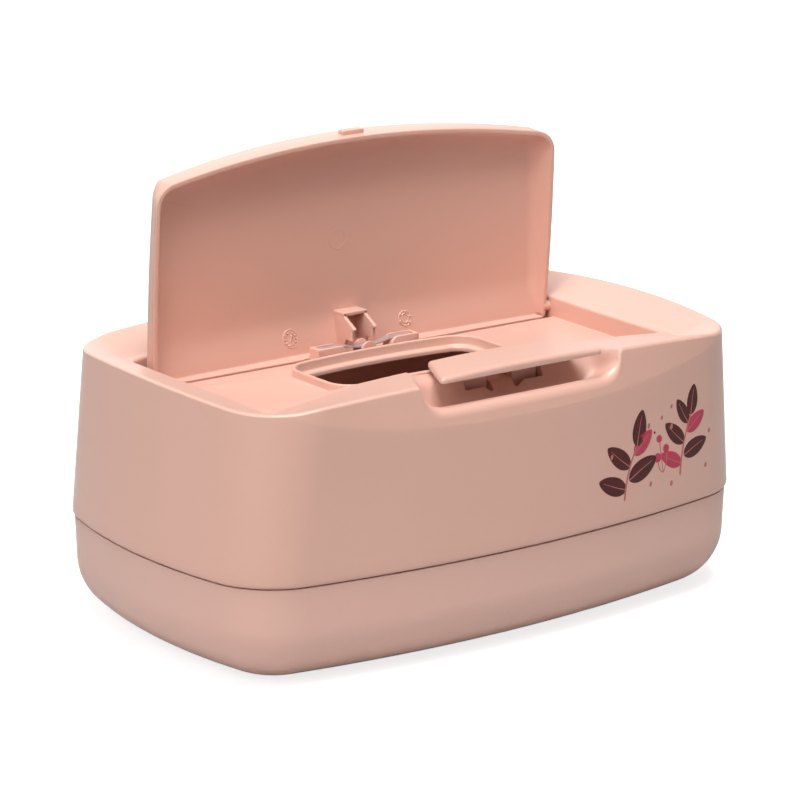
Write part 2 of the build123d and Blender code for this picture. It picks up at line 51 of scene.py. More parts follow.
# Sunk top with the deck and the hinge's trough
RECESS_HALF, RECESS_BACK, RECESS_FRONT = 85.2, 38.2, -43.7
RECESS_FRONT_HALF, RECESS_BOW, RECESS_EDGE_Z = 83.2, 7.6, 87.7
RECESS_FRONT_CORNER, RECESS_BACK_CORNER, RECESS_BRINK = 2.5, 3.0, 0.9
DECK_Z, TROUGH_Z, DECK_BACK = 80.8, 78.8, 25.4
DECK_UNDER_Z, WALL_UNDER_Z = 78.6, 78.0
HINGE = (28.8, 84.3)
# Finger scoop, its notch in the wall, and the bridge between scoop and sunk top
SCOOP_Z, SCOOP_DIP, SCOOP_BACK_Z, BRIDGE_Z, BRIDGE_Y = 86.2, 3.0, 92.0, 92.8, -45.7
NOTCH_BACK_HALF, NOTCH_FRONT_HALF, NOTCH_DEPTH = 30.5, 41.1, 20.6
LIP, HOLLOW = 1.4, 9.3
TONGUE_ROOM_HALF, TONGUE_ROOM = 6.3, 4.2
# Along the way in from the lip to the bridge: where the dip ends, and where the rise starts and its length
SCOOP_DIP_END, SCOOP_RISE_START, SCOOP_RISE_RUN = 0.6, 0.27, 0.42
# Round edges of the wall: at the seam, at the scoop's lip and at the rim
SEAM_EDGE, LIP_EDGE, RIM_EDGE = 1.5, 3.0, 1.1
# Thickness of the rim and of the scoop's floor
ROOF_WALL = 2.5
# Rim: its rise at the back, and the arch of its outer edge at the back and how much more at the front
RIM_BACK_RISE, RIM_ARCH, RIM_ARCH_MORE = 1.6, -1.0, 3.6
# The same for the sunk top's edge, and the widths over which the rim slopes down to that
RECESS_ARCH, RECESS_ARCH_MORE, RIM_FRONT_BLEND, RIM_BACK_BLEND = 4.4, 2.4, 22.0, 26.0
# Kink across the front wall
FACET_SLOPE, FACET_MIDDLE_Z, FACET_RISE, FACET_REACH, FACET_POWER = 0.115, 80.0, 14.5, 100, 2.6
# Collar round the dispensing slot: half length, front, back, corner, bow of its back and heights
COLLAR_HALF, COLLAR_FRONT, COLLAR_BACK, COLLAR_CORNER, COLLAR_BOW = 39.0, -18.7, 19.6, 10.0, 3.2
COLLAR_Z, SLOT_EDGE_Z, COLLAR_WALL, SLOT_INSET = 83.6, 80.2, 1.5, 4.1
# Blocks and guide ears of the leaf spring, and the slot for it in the blocks
BLOCK_IN, BLOCK_OUT, BLOCK_FRONT, BLOCK_BACK, BLOCK_Z = 9.5, 21.3, 20.3, 25.9, 85.4
EAR_RADIUS, EAR_Z, EAR_WALL, EAR_FOOT_Z = 3.2, 82.2, 0.9, 78.2
LEAF_SLOT_HALF, LEAF_SLOT_FRONT, LEAF_SLOT_BACK, LEAF_SLOT_Z = 19.7, 21.25, 24.95, 84.5
# Trough under the hinge, and the slots that let the bracket's cheeks through
TROUGH_HALF, TROUGH_BACK, TROUGH_UNDER_Z, TROUGH_CORNER = 85.9, 38.9, 76.6, 3.4
CHEEK_SLOT_IN, CHEEK_SLOT_OUT, CHEEK_SLOT_FRONT, CHEEK_SLOT_BACK = 3.1, 6.1, 19.7, 32.2
# Lid: its lean when open, its outline, its place and its walls
LEAN = radians(3.9)
LID_HALF, LID_FRONT_HALF, LID_LENGTH, LID_TAIL = 83.2, 82.7, 71.9, 3.9
LID_BOW, LID_SIDE_BOW, LID_CORNER, LID_TAIL_CORNER = 7.6, 0.7, 8.0, 1.7
LID_FOOT, LID_REACH, LID_ARCH_HALF = (27.2, 83.9), 71.5, 89.2
LID_WALL, LID_FRONT_WALL = 1.6, 0.8
# How much thicker the lid is at its tail, and the end and length of the step to that
LID_TAIL_EXTRA, LID_STEP_END, LID_STEP_RUN = 2.4, 10.0, 14.0
# Its outer arch: the depth at the hinge's side, the crown there, and how much more crown at the front
LID_DEPTH, LID_CROWN, LID_CROWN_MORE = 6.8, 2.2, 5.0
# Its rim: the arch at the front, how far below the hinge the slope up to that starts, and its length
LID_RIM_ARCH, LID_RIM_BEHIND, LID_RIM_RUN = 4.6, 7.8, 83.3
# How far its walls lean out towards the rim at the tail, and how much more at the front
LID_FLARE, LID_FLARE_MORE = 1.3, 2.2
# Its stubs, the room in its tail for the spring blocks, its bracket, and its tab in lid coordinates
STUB_IN, STUB_OUT, STUB_RADIUS, STUB_HOLE = 82.2, 87.2, 1.9, 2.0
TAIL_ROOM_HALF, TAIL_ROOM_BACK, TAIL_ROOM_Z = 22.3, 27.9, 87.4
CHEEK_OUT, CHEEK_IN, BRACKET_Z, BRACKET_FRONT, BRACKET_BACK = 4.94, 3.7, 94.2, 28.5, 35.0
BRACKET_UNDER, CHEEK_UNDER = 93.1, 82.6
TAB_HALF, TAB_LOW, TAB_HIGH, TAB_NEAR, TAB_FAR = 4.4, 70.4, 73.5, 7.4, 10.3
# Release button, its pin (y, z) and the hole for it
PIN, PIN_HOLE = (-50.6, 77.6), 1.05
LEG_IN, LEG_OUT, LEG_FRONT, LEG_BACK, LEG_TOP, BOSS_RADIUS = 5.0, 15.5, -52.4, -48.8, 94.6, 3.0
LEG_PLAY, LEG_SLOT_FRONT, LEG_SLOT_BACK = 0.6, -55.2, -48.2
LUG_OUT, LUG_RADIUS, LUG_TOP = 18.5, 3.5, 82.4
PLATE_FRONT, PLATE_BACK, PLATE_FRONT_HALF, PLATE_BACK_HALF = -65.3, -45.3, 33.7, 24.0
PLATE_UNDER, PLATE_Z, PLATE_ARCH, PLATE_ARCH_HALF = 94.2, 95.7, 1.2, 40
NOSE_HALF, NOSE_FRONT, NOSE_BACK, NOSE_UNDER = 5.0, -47.3, -43.0, 92.4


# Materials


class Term:
    """A node's output that can stand in an expression: each operator adds the Math node for it."""

    def __init__(self, graph, socket):
        self.graph = graph
        self.socket = socket

    def __add__(self, other):
        return self.graph.math("ADD", self, other)

    def __mul__(self, other):
        return self.graph.math("MULTIPLY", self, other)

    __radd__ = __add__
    __rmul__ = __mul__


class Graph:
    """The node tree of a new material, or of the world."""

    def __init__(self, owner):
        self.owner = owner
        owner.use_nodes = True
        self.tree = owner.node_tree
        self.tree.nodes.clear()

    def add(self, kind, settings=None, inputs=None, output=0):
        """Adds a node: its settings first, then the values or links of its sockets."""
        node = self.tree.nodes.new(kind)
        for key, value in (settings or {}).items():
            setattr(node, key, value)
        for key, value in (inputs or {}).items():
            if isinstance(value, Term):
                self.tree.links.new(value.socket, node.inputs[key])
            else:
                node.inputs[key].default_value = value
        return Term(self, node.outputs[output]) if len(node.outputs) else None

    def math(self, operation, *values):
        return self.add("ShaderNodeMath", {"operation": operation}, dict(enumerate(values)))

    def blend(self, factor, first, second, how="MIX"):
        """Colour first turned towards colour second by factor."""
        return self.add("ShaderNodeMix", {"data_type": "RGBA", "blend_type": how},
                        {0: factor, 6: first, 7: second}, 2)

    def own_place(self):
        """The piece's own coordinates, in metres: a pattern on them moves with the piece."""
        return self.add("ShaderNodeTexCoord", output="Object")

    def noise(self, place, scale, detail=2.0, rough=0.5):
        return self.add("ShaderNodeTexNoise", {},
                        {"Vector": place, "Scale": scale, "Detail": detail, "Roughness": rough})

    def bump(self, height):
        """Normal that shows height, in metres."""
        return self.add("ShaderNodeBump", {}, {"Height": height, "Strength": 1.0, "Distance": 1.0})

    def finish(self, shader, kind="ShaderNodeOutputMaterial"):
        """Links the shader to the output and returns the material or world."""
        self.add(kind, {}, {"Surface": shader})
        return self.owner


def moulded(name, colour, rough=0.42, grain=1.0):
    """Moulded plastic: colour * (0.965 + flow / 20 + specks / 50), a fine grain in the bump and scuffs in the
    gloss, under a thin sheen."""
    g = Graph(bpy.data.materials.new(name))
    place = g.own_place()
    flow = g.noise(place, 14.0, 3.0, 0.55)
    specks = g.noise(place, 900.0, 2.0, 0.6)
    scuffs = g.noise(place, 55.0, 5.0, 0.7)
    pits = g.noise(place, 2600.0, 2.0, 0.5)
    waves = g.noise(place, 26.0, 1.0, 0.4)
    tone = 0.965 + flow * 0.05 + specks * 0.02
    grey = g.add("ShaderNodeCombineColor", {}, {0: tone, 1: tone, 2: tone})
    gloss = rough - 0.05 + scuffs * 0.09 + specks * 0.03
    height = pits * (0.000012 * grain) + specks * (0.00002 * grain) + waves * 0.00005
    return g.finish(g.add("ShaderNodeBsdfPrincipled", {}, {
        "Base Color": g.blend(1.0, (*colour, 1), grey, "MULTIPLY"), "Roughness": gloss,
        "Normal": g.bump(height), "Specular IOR Level": 0.85, "Sheen Weight": 0.3, "Sheen Roughness": 0.4}))


def steel(name):
    """Bright drawn steel: fine lines along X in colour, gloss and bump."""
    g = Graph(bpy.data.materials.new(name))
    stretched = g.add("ShaderNodeMapping", {}, {"Vector": g.own_place(), "Scale": (30.0, 2500.0, 2500.0)})
    lines = g.noise(stretched, 1.0, 3.0, 0.6)
    tint = g.blend(lines, (0.60, 0.55, 0.58, 1), (0.80, 0.75, 0.78, 1))
    return g.finish(g.add("ShaderNodeBsdfPrincipled", {}, {
        "Base Color": tint, "Metallic": 0.75, "Roughness": 0.24 + lines * 0.16,
        "Normal": g.bump(lines * 0.00001)}))


def soft_rubber(name, colour):
    """Matt soft rubber: colour turned towards a paler one by a quarter of the dust, with a coarse soft grain
    in gloss and bump."""
    g = Graph(bpy.data.materials.new(name))
    place = g.own_place()
    grain = g.noise(place, 1200.0, 3.0, 0.6)
    dust = g.noise(place, 90.0, 4.0, 0.6)
    paler = tuple(0.5 * c + 0.3 for c in colour)
    return g.finish(g.add("ShaderNodeBsdfPrincipled", {}, {
        "Base Color": g.blend(dust * 0.25, (*colour, 1), (*paler, 1)), "Roughness": 0.72 + grain * 0.16,
        "Normal": g.bump(grain * 0.00004)}))


UNDER_INK = (0.60, 0.36, 0.30)


def print_ink(name, colour, fade):
    """Printed ink: colour thinned by fine noise towards the plastic under it, a little glossier than that."""
    g = Graph(bpy.data.materials.new(name))
    cover = g.noise(g.own_place(), 700.0, 3.0, 0.6)
    return g.finish(g.add("ShaderNodeBsdfPrincipled", {}, {
        "Base Color": g.blend(cover * fade, (*colour, 1), (*UNDER_INK, 1)), "Roughness": 0.4 + cover * 0.12,
        "Normal": g.bump(cover * 0.000008), "Specular IOR Level": 0.25}))


pink = moulded("pink_housing", (0.745, 0.432, 0.342), 0.43)
pink_tray = moulded("pink_tray", (0.80, 0.48, 0.39), 0.45, 1.2)
pink_lid = moulded("pink_lid", (0.745, 0.43, 0.338), 0.42, 0.8)
spring_steel = steel("spring_steel")
rubber = soft_rubber("soft_feet", (0.33, 0.17, 0.14))
ink_maroon = print_ink("ink_maroon", (0.075, 0.010, 0.011), 0.06)
ink_raspberry = print_ink("ink_raspberry", (0.55, 0.045, 0.105), 0.1)
ink_rose = print_ink("ink_rose", (0.52, 0.15, 0.14), 0.2)


# Helpers that make meshes


SHARP = radians(38)


def join(shape, closed, along):
    """Quads between neighbouring points of a grid with shape (columns, rows)."""
    index = np.arange(shape[0] * shape[1]).reshape(shape)
    a = index if closed else index[:-1]
    b = np.roll(index, -1, 0) if closed else index[1:]
    if along:
        return np.stack([a, b, np.roll(b, -1, 1), np.roll(a, -1, 1)], -1).reshape(-1, 4)
    return np.stack([a[:, :-1], b[:, :-1], b[:, 1:], a[:, 1:]], -1).reshape(-1, 4)


def piece(name, body, material, *grids, slot="housing_plastic"):
    """One object of closed skins: each is a grid of points[column, row], whether it wraps round and whether
    it wraps along. Doubles are merged and the faces turned outwards."""
    points, quads, start = [], [], 0
    for grid, closed, along in grids:
        points.append(grid.reshape(-1, 3))
        quads.append(join(grid.shape[:2], closed, along) + start)
        start += len(points[-1])
    mesh = bpy.data.meshes.new(name)
    mesh.from_pydata(np.concatenate(points) * 0.001, [], np.concatenate(quads))
    work = bmesh.new()
    work.from_mesh(mesh)
    bmesh.ops.remove_doubles(work, verts=work.verts, dist=2e-6)
    bmesh.ops.dissolve_degenerate(work, edges=work.edges, dist=1e-6)
    bmesh.ops.recalc_face_normals(work, faces=work.faces)
    work.to_mesh(mesh)
    work.free()
    mesh.shade_smooth()
    mesh.set_sharp_from_angle(angle=SHARP)
    mesh.materials.append(material)
    made = bpy.data.objects.new(name, mesh)
    bpy.context.scene.collection.objects.link(made)
    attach(made, body)
    return made


def cut(target, *grids):
    """Takes closed skins, which don't overlap, out of the target's mesh."""
    cutter = piece("cutter", "upper", target.data.materials[0], *grids)
    work = target.modifiers.new("cut", "BOOLEAN")
    work.object, work.operation, work.solver = cutter, "DIFFERENCE", "EXACT"
    bpy.context.view_layer.update()
    seen = target.evaluated_get(bpy.context.evaluated_depsgraph_get())
    mesh = bpy.data.meshes.new_from_object(seen)
    target.modifiers.remove(work)
    target.data = mesh
    mesh.shade_smooth()
    mesh.set_sharp_from_angle(angle=SHARP)
    bpy.data.objects.remove(cutter)


def both(make, low, high, *rest):
    """The same skin on the left and on the right, from low to high in x."""
    return [make(side_low, side_high, *rest) for side_low, side_high in ((-high, -low), (low, high))]


def wrap(rows):
    """Stacks rows of (columns, 3) points into a grid that closes both ways."""
    return np.stack(rows, 1), True, True


def at(flat, height):
    """Points in plan with a height for each column."""
    return np.concatenate([flat, np.broadcast_to(height, len(flat))[:, None]], 1)


def inward(flat):
    """Inward unit normal of a closed outline that runs anticlockwise."""
    along = np.roll(flat, -1, 0) - np.roll(flat, 1, 0)
    across = np.stack([-along[:, 1], along[:, 0]], 1)
    return across / np.linalg.norm(across, axis=1)[:, None]


def arc(centre, start, end, steps):
    """Points after start, on the circle round centre, to end."""
    a, b = start - centre, end - centre
    turn = np.arctan2(a[0] * b[1] - a[1] * b[0], a @ b)
    t = np.linspace(0, 1, steps + 1)[1:, None] * turn
    return centre + a * np.cos(t) + np.array([-a[1], a[0]]) * np.sin(t)


def rounded(corners, radius, steps=6):
    """Polygon with round corners: each corner is an arc of its own radius, tangent to both sides."""
    corners = np.array(corners, float)
    radii = np.broadcast_to(radius, len(corners))
    found = []
    for before, here, after, r in zip(np.roll(corners, 1, 0), corners, np.roll(corners, -1, 0), radii):
        u, v = before - here, after - here
        u, v = u / np.linalg.norm(u), v / np.linalg.norm(v)
        half = np.arccos(np.clip(u @ v, -1, 1)) / 2
        middle = here + (u + v) / np.linalg.norm(u + v) * r / sin(half)
        start, end = here + u * r / np.tan(half), here + v * r / np.tan(half)
        found += [start[None], arc(middle, start, end, steps)]
    return np.concatenate(found)


def slab(outline, low, high, edge, axis="z"):
    """Closed plate on an outline, extruded along axis from low to high, its edges round by radius edge.

    A point near an end is the outline moved in by edge * (1 - cos t), at edge * (1 - sin t) from that end."""
    area = np.sum(outline[:, 0] * np.roll(outline[:, 1], -1) - np.roll(outline[:, 0], -1) * outline[:, 1])
    if area < 0:
        outline = outline[::-1]
    into, middle = inward(outline), outline.mean(0)
    t = np.linspace(0, pi / 2, 4)
    steps = [(edge * (1 - sin(x)), low + edge * (1 - cos(x))) for x in t]
    steps += [(edge * (1 - cos(x)), high - edge * (1 - sin(x))) for x in t]
    rows = [at(np.broadcast_to(middle, outline.shape), low)]
    rows += [at(outline + into * inset, level) for inset, level in steps]
    rows += [at(np.broadcast_to(middle, outline.shape), high)]
    grid = np.stack(rows, 1)
    order = {"x": [2, 0, 1], "y": [0, 2, 1], "z": [0, 1, 2]}[axis]
    return grid[..., order], True, False


def box(x0, x1, y0, y1, z0, z1, edge=0.25, corner=0.3):
    """Block with round edges and corners: a rectangle carried from z0 to z1."""
    corner = max(corner, edge + 0.02)
    return slab(rounded([(x0, y0), (x1, y0), (x1, y1), (x0, y1)], corner, 4), z0, z1, edge)


def rod(x0, x1, y, z, radius, edge=0.2):
    """Round bar along X: a circle of radius round (y, z), carried from x0 to x1."""
    t = np.linspace(0, 2 * pi, 37)[:-1]
    return slab(np.stack([y + radius * np.cos(t), z + radius * np.sin(t)], 1), x0, x1, edge, "x")


# Housing


def bow_radius(half, bow):
    """Radius of the circle whose chord of half length half stands off by bow."""
    return (half ** 2 + bow ** 2) / (2 * bow)


def meet(centre_a, radius_a, centre_b, radius_b, toward):
    """Crossing of two circles on the side of toward."""
    gap = centre_b - centre_a
    length = np.hypot(*gap)
    along = (radius_a ** 2 - radius_b ** 2 + length ** 2) / (2 * length)
    off = sqrt(max(0.0, radius_a ** 2 - along ** 2))
    base = centre_a + gap * along / length
    side = np.array([-gap[1], gap[0]]) / length * off
    return max((base + side, base - side), key=lambda p: p @ toward)


# Columns of the outline's round corners, straight ends and back
CORNER_STEPS, END_STEPS, BACK_STEPS = 16, 8, 12


def mirrored(right):
    """Closed outline from its right half, which runs from the front's middle to the back's middle."""
    left = right[-2:0:-1] * (-1, 1)
    return np.concatenate([right, left])


def body_outline(half, front, back, bows, radius, share):
    """Right half of the bowed outline. A side is a circle through its ends and its bowed middle, and a corner
    is a circle of the given radius that touches two sides. share places the front's columns."""
    bow_front, bow_back, bow_end = bows
    corner_x, front_y, back_y = half - bow_end, bow_front - front, back - bow_back
    middle_y, half_y = (front_y + back_y) / 2, (back_y - front_y) / 2
    rf, rb, re = bow_radius(corner_x, bow_front), bow_radius(corner_x, bow_back), bow_radius(half_y, bow_end)
    cf, cb, ce = np.array([0, rf - front]), np.array([0, back - rb]), np.array([half - re, middle_y])
    kf = meet(cf, rf - radius, ce, re - radius, np.array([1.0, -1.0]))
    kb = meet(cb, rb - radius, ce, re - radius, np.array([1.0, 1.0]))

    def touch(k, c):
        return k + (k - c) / np.linalg.norm(k - c) * radius

    tangent = touch(kf, cf)[0]
    x = share * tangent
    front_side = np.stack([x, cf[1] - np.sqrt(rf ** 2 - x ** 2)], 1)
    right = [front_side, arc(kf, touch(kf, cf), touch(kf, ce), CORNER_STEPS),
             arc(ce, touch(kf, ce), touch(kb, ce), END_STEPS),
             arc(kb, touch(kb, ce), touch(kb, cb), CORNER_STEPS),
             arc(cb, touch(kb, cb), np.array([0, back]), BACK_STEPS)]
    return np.concatenate(right), tangent


def notch_half(y):
    """Half width of the notch at depth y: it widens straight towards the front."""
    return NOTCH_BACK_HALF + (NOTCH_FRONT_HALF - NOTCH_BACK_HALF) * (RECESS_FRONT - y) / NOTCH_DEPTH


def front_columns():
    """Where the front's columns cross the outer edge and the sunk top's edge: even over the scoop's floor, by
    angle over its round side and lip, then even out to the corner. The notch's width at a column depends on
    where the column is, so that the places are worked out again until they rest."""
    hollow_turn, lip_turn = np.linspace(0, pi / 2, 13)[1:], np.linspace(0, pi / 2, 7)[1:]
    side = np.concatenate([-HOLLOW * (1 - np.sin(hollow_turn)), LIP * (1 - np.cos(lip_turn)),
                           LIP + np.array([0.5, 1.4, 3.0])])
    floor = np.array([0, 0.1, 0.2, 0.296, 0.306, 0.42, 0.56, 0.7, 0.85, 1.0])
    pairs = []
    for edge_y in (outer_edge_y, recess_edge_y):
        x = np.concatenate([floor * 20, 25 + side])
        for _ in range(12):
            half = notch_half(edge_y(x))
            x = np.concatenate([floor * (half[:len(floor)] - HOLLOW), half[len(floor):] + side])
        pairs.append(x)
    return pairs


RIM_HALF = HALF_LENGTH - RIM_INSETS[2]
RIM_FRONT = HALF_WIDTH - RIM_INSETS[0]
RIM_BACK = HALF_WIDTH - RIM_INSETS[1]
RIM_FRONT_RADIUS = bow_radius(RIM_HALF - RIM_BOWS[2], RIM_BOWS[0])
RECESS_RADIUS = bow_radius(RECESS_FRONT_HALF, RECESS_BOW)


def outer_edge_y(x):
    """The rim's bowed front edge: a circle through its middle."""
    return RIM_FRONT_RADIUS - RIM_FRONT - np.sqrt(RIM_FRONT_RADIUS ** 2 - x ** 2)


def recess_edge_y(x):
    """The sunk top's bowed front edge: a circle through its middle."""
    return RECESS_FRONT + RECESS_RADIUS - np.sqrt(RECESS_RADIUS ** 2 - x ** 2)


def recess_outline(front_x):
    """Right half of the sunk top's outline, with a column for each one of the body's."""
    middle = np.array([0, RECESS_FRONT + RECESS_RADIUS])
    foot = np.array([RECESS_FRONT_HALF, RECESS_FRONT + RECESS_BOW])
    head = np.array([RECESS_HALF, RECESS_BACK])
    run = (head - foot) / np.linalg.norm(head - foot)
    into = np.array([-run[1], run[0]])
    # The front corner's middle: a radius inside the straight side, and a radius inside the bowed front
    on_side = foot + into * RECESS_FRONT_CORNER
    base = on_side - middle
    b, c = base @ run, base @ base - (RECESS_RADIUS - RECESS_FRONT_CORNER) ** 2
    root = sqrt(b * b - c)
    k = min((on_side + run * (-b - root), on_side + run * (-b + root)), key=lambda p: abs(p[1] - foot[1]))
    start = middle + (k - middle) / np.linalg.norm(k - middle) * RECESS_RADIUS
    side_low, side_high = k - into * RECESS_FRONT_CORNER, head - run * RECESS_BACK_CORNER
    back_k = side_high + into * RECESS_BACK_CORNER
    back_start = np.array([back_k[0], RECESS_BACK])
    x = np.concatenate([front_x, np.linspace(front_x[-1], start[0], 9)[1:]])
    straight = np.linspace(0, 1, END_STEPS + 1)[1:, None]
    back_line = np.linspace(0, 1, BACK_STEPS + 1)[1:, None]
    return np.concatenate([
        np.stack([x, recess_edge_y(x)], 1), arc(k, start, side_low, CORNER_STEPS),
        side_low + (side_high - side_low) * straight, arc(back_k, side_high, back_start, CORNER_STEPS),
        back_start + (np.array([0, RECESS_BACK]) - back_start) * back_line])


def rim_height(x, y):
    """Height of the rim: its outer edge, arched along the front, blends down to the sunk top's edge, arched
    too, over the width of the strip."""
    front_share = 0.5 - y / (2 * HALF_WIDTH)
    along = (x / HALF_LENGTH) ** 2
    outer = (RIM_Z + RIM_BACK_RISE * (1 - front_share)
             + (RIM_ARCH + RIM_ARCH_MORE * front_share) * (1 - along))
    across = np.maximum(0.0, 1 - (x / RECESS_HALF) ** 2)
    inner = RECESS_EDGE_Z + (RECESS_ARCH + RECESS_ARCH_MORE * front_share) * across
    from_end = (RIM_HALF - np.abs(x)) / (RIM_HALF - RECESS_HALF)
    from_side = np.minimum((RIM_FRONT + y) / RIM_FRONT_BLEND, (RIM_BACK - y) / RIM_BACK_BLEND)
    depth = np.clip(from_end, 0, 1) * np.clip(from_side, 0, 1)
    return outer + (inner - outer) * depth


def scoop_share(x, y):
    """How far up from the scoop's floor (0) to the rim (1) the surface is: floor, round hollow, round lip."""
    off = np.abs(x) - notch_half(y)
    low = HOLLOW - np.sqrt(np.maximum(HOLLOW ** 2 - np.clip(off + HOLLOW, 0, HOLLOW) ** 2, 0))
    high = np.sqrt(np.maximum(LIP ** 2 - (LIP - np.clip(off, 0, LIP)) ** 2, 0))
    return (low + high) / (HOLLOW + LIP)


def facet_line(x):
    """Height of the curved line across the front where the wall changes its slope."""
    return FACET_MIDDLE_Z + FACET_RISE * (np.abs(x) / FACET_REACH) ** FACET_POWER


def facet_bulge(x, y, z, top):
    """How far the kinked wall stands out from the straight one: two straight slopes that meet at the line."""
    line = np.minimum(facet_line(x), top - 0.01)
    peak = FACET_SLOPE * (top - line)
    low, high = peak * (z - SEAM_Z) / (line - SEAM_Z), FACET_SLOPE * (top - z)
    soft = 0.03
    mix = np.clip(0.5 + (high - low) / (2 * soft), 0, 1)
    least = high + (low - high) * mix - soft * mix * (1 - mix)
    return np.where(y < 0, np.maximum(least, 0), 0.0)


front_outer, front_inner = front_columns()
_, rim_tangent = body_outline(RIM_HALF, RIM_FRONT, RIM_BACK, RIM_BOWS, RIM_CORNER, np.array([0.0]))
front_outer = np.concatenate([front_outer, np.linspace(front_outer[-1], rim_tangent, 9)[1:]])
front_share = front_outer / rim_tangent
seam_half, _ = body_outline(HALF_LENGTH, HALF_WIDTH, HALF_WIDTH, SEAM_BOWS, SEAM_CORNER, front_share)
rim_half, _ = body_outline(RIM_HALF, RIM_FRONT, RIM_BACK, RIM_BOWS, RIM_CORNER, front_share)
seam_line, rim_line = mirrored(seam_half), mirrored(rim_half)
recess_line = mirrored(recess_outline(front_inner))


def outer_wall(z, top, inset=0.0):
    """The housing's outer wall at height z (one for each column): the seam's outline blended to the rim's,
    moved out by the kink's bulge and in by inset."""
    share = ((z - SEAM_Z) / (RIM_Z - SEAM_Z))[:, None]
    flat = seam_line + (rim_line - seam_line) * share
    into = inward(rim_line)
    bulge = facet_bulge(flat[:, 0], flat[:, 1], z, top)
    return flat + into * (inset - bulge)[:, None]


def housing_shell():
    """Outer wall, rim, scoop and the sunk top's wall as one tube round the box, closed both ways. A column is
    a place on the outline, and its rows go up the wall, round the edge, in over the scoop or the rim, down
    the sunk top's wall and back under it. Heights blend from the scoop's to the rim's by scoop_share."""
    count = len(rim_line)
    ones = np.ones(count)
    top = rim_height(rim_line[:, 0], rim_line[:, 1])
    share = np.where(rim_line[:, 1] < 0, scoop_share(rim_line[:, 0], rim_line[:, 1]), 1.0)
    edge_z = SCOOP_Z + (top - SCOOP_Z) * share
    edge_r = LIP_EDGE - (LIP_EDGE - RIM_EDGE) * share
    rows = []
    for angle in np.linspace(pi / 2, 0, 6):
        z = SEAM_Z + SEAM_EDGE * (1 - sin(angle))
        rows.append(at(outer_wall(ones * z, top, ones * SEAM_EDGE * (1 - cos(angle))), z))
    wall_from, wall_to = SEAM_Z + SEAM_EDGE, edge_z - edge_r
    line = np.minimum(facet_line(rim_line[:, 0]), wall_to - 1.2)
    for f in np.linspace(0, 1, 31)[1:]:
        z = wall_from + (line - wall_from) * f
        rows.append(at(outer_wall(z, top), z))
    for f in np.linspace(0, 1, 14)[1:-1]:
        z = line + (wall_to - line) * f
        rows.append(at(outer_wall(z, top), z))
    edge = outer_wall(edge_z, top, edge_r)
    recess_in = inward(recess_line)
    # Which columns are the front's, and how far from edge to sunk top the bridge's front stands
    back_face = (BRIDGE_Y - edge[:, 1]) / (recess_line[:, 1] - edge[:, 1])
    front_count = len(front_outer)
    front = np.zeros(count, bool)
    front[:front_count] = True
    front[count - front_count + 1:] = True
    back_face = np.where(front, back_face, back_face[front_count - 1])[:, None]
    face = edge + (recess_line - edge) * back_face

    def lower(flat, depth=0.0):
        """Scoop's surface: behind the lip (depth 0) it dips, then rises in a curve to the bridge (1)."""
        s = np.where(flat[:, 1] < 0, scoop_share(flat[:, 0], flat[:, 1]), 1.0)
        s = np.where(front, s, 1.0)
        rise = np.clip((depth - SCOOP_RISE_START) / SCOOP_RISE_RUN, 0, 1)
        rise = rise * rise * (3 - 2 * rise)
        in_room = np.abs(flat[:, 0]) < TONGUE_ROOM_HALF + 0.3
        back = np.where(in_room, BRIDGE_Z - TONGUE_ROOM - 0.4, SCOOP_BACK_Z)
        dip = SCOOP_DIP * sin(pi * min(depth / SCOOP_DIP_END, 1.0))
        floor = SCOOP_Z - dip + (back - SCOOP_Z) * rise
        return floor + (rim_height(flat[:, 0], flat[:, 1]) - floor) * s

    def upper(flat):
        """Top of the bridge between the notch's sides, with room for the lid's tab, and the rim beside."""
        rim = rim_height(flat[:, 0], flat[:, 1])
        off = np.abs(flat[:, 0]) - notch_half(flat[:, 1])
        mix = np.where(front, 1 - np.clip(off, 0, 1), 0.0)
        mix = mix * mix * (3 - 2 * mix)
        level = np.where(front & (np.abs(flat[:, 0]) < TONGUE_ROOM_HALF), BRIDGE_Z - TONGUE_ROOM, BRIDGE_Z)
        return rim + (level - rim) * mix

    start_z = lower(edge)
    for angle in np.linspace(0, pi / 2, 9):
        z = edge_z - edge_r * (1 - sin(angle))
        flat = outer_wall(z, top, edge_r * (1 - cos(angle)))
        rows.append(at(flat, z + (start_z - edge_z) * sin(angle)))
    for f in np.linspace(0, 1, 21)[1:]:
        flat = edge + (face - edge) * f
        rows.append(at(flat, lower(flat, f)))
    low_z, high_z = lower(face, 1.0), upper(face)
    step = np.minimum(0.6, np.maximum(high_z - low_z, 0) / 3)
    for f in (0.25, 0.5, 0.75):
        rows.append(at(face, low_z + (high_z - step - low_z) * f))
    toward = recess_line - face
    toward = toward / np.linalg.norm(toward, axis=1)[:, None]
    for angle in np.linspace(0, pi / 2, 5):
        flat = face + toward * (step * (1 - cos(angle)))[:, None]
        rows.append(at(flat, high_z - step * (1 - sin(angle))))
    brink = recess_line - recess_in * RECESS_BRINK
    begin = face + toward * step[:, None]
    for f in np.linspace(0, 1, 7)[1:-1]:
        flat = begin + (brink - begin) * f
        rows.append(at(flat, upper(flat)))
    brink_z = upper(brink)
    for angle in np.linspace(0, pi / 2, 6):
        out, down = RECESS_BRINK * (1 - sin(angle)), RECESS_BRINK * (1 - cos(angle))
        rows.append(at(recess_line - recess_in * out, brink_z - down))
    for z in (84.0, 81.0, WALL_UNDER_Z):
        rows.append(at(recess_line, np.minimum(z, brink_z - RECESS_BRINK - 0.1)))
    behind = recess_line - recess_in * WALL
    rows.append(at(behind, WALL_UNDER_Z))
    inside_top = outer_wall(top, top, ones * WALL)

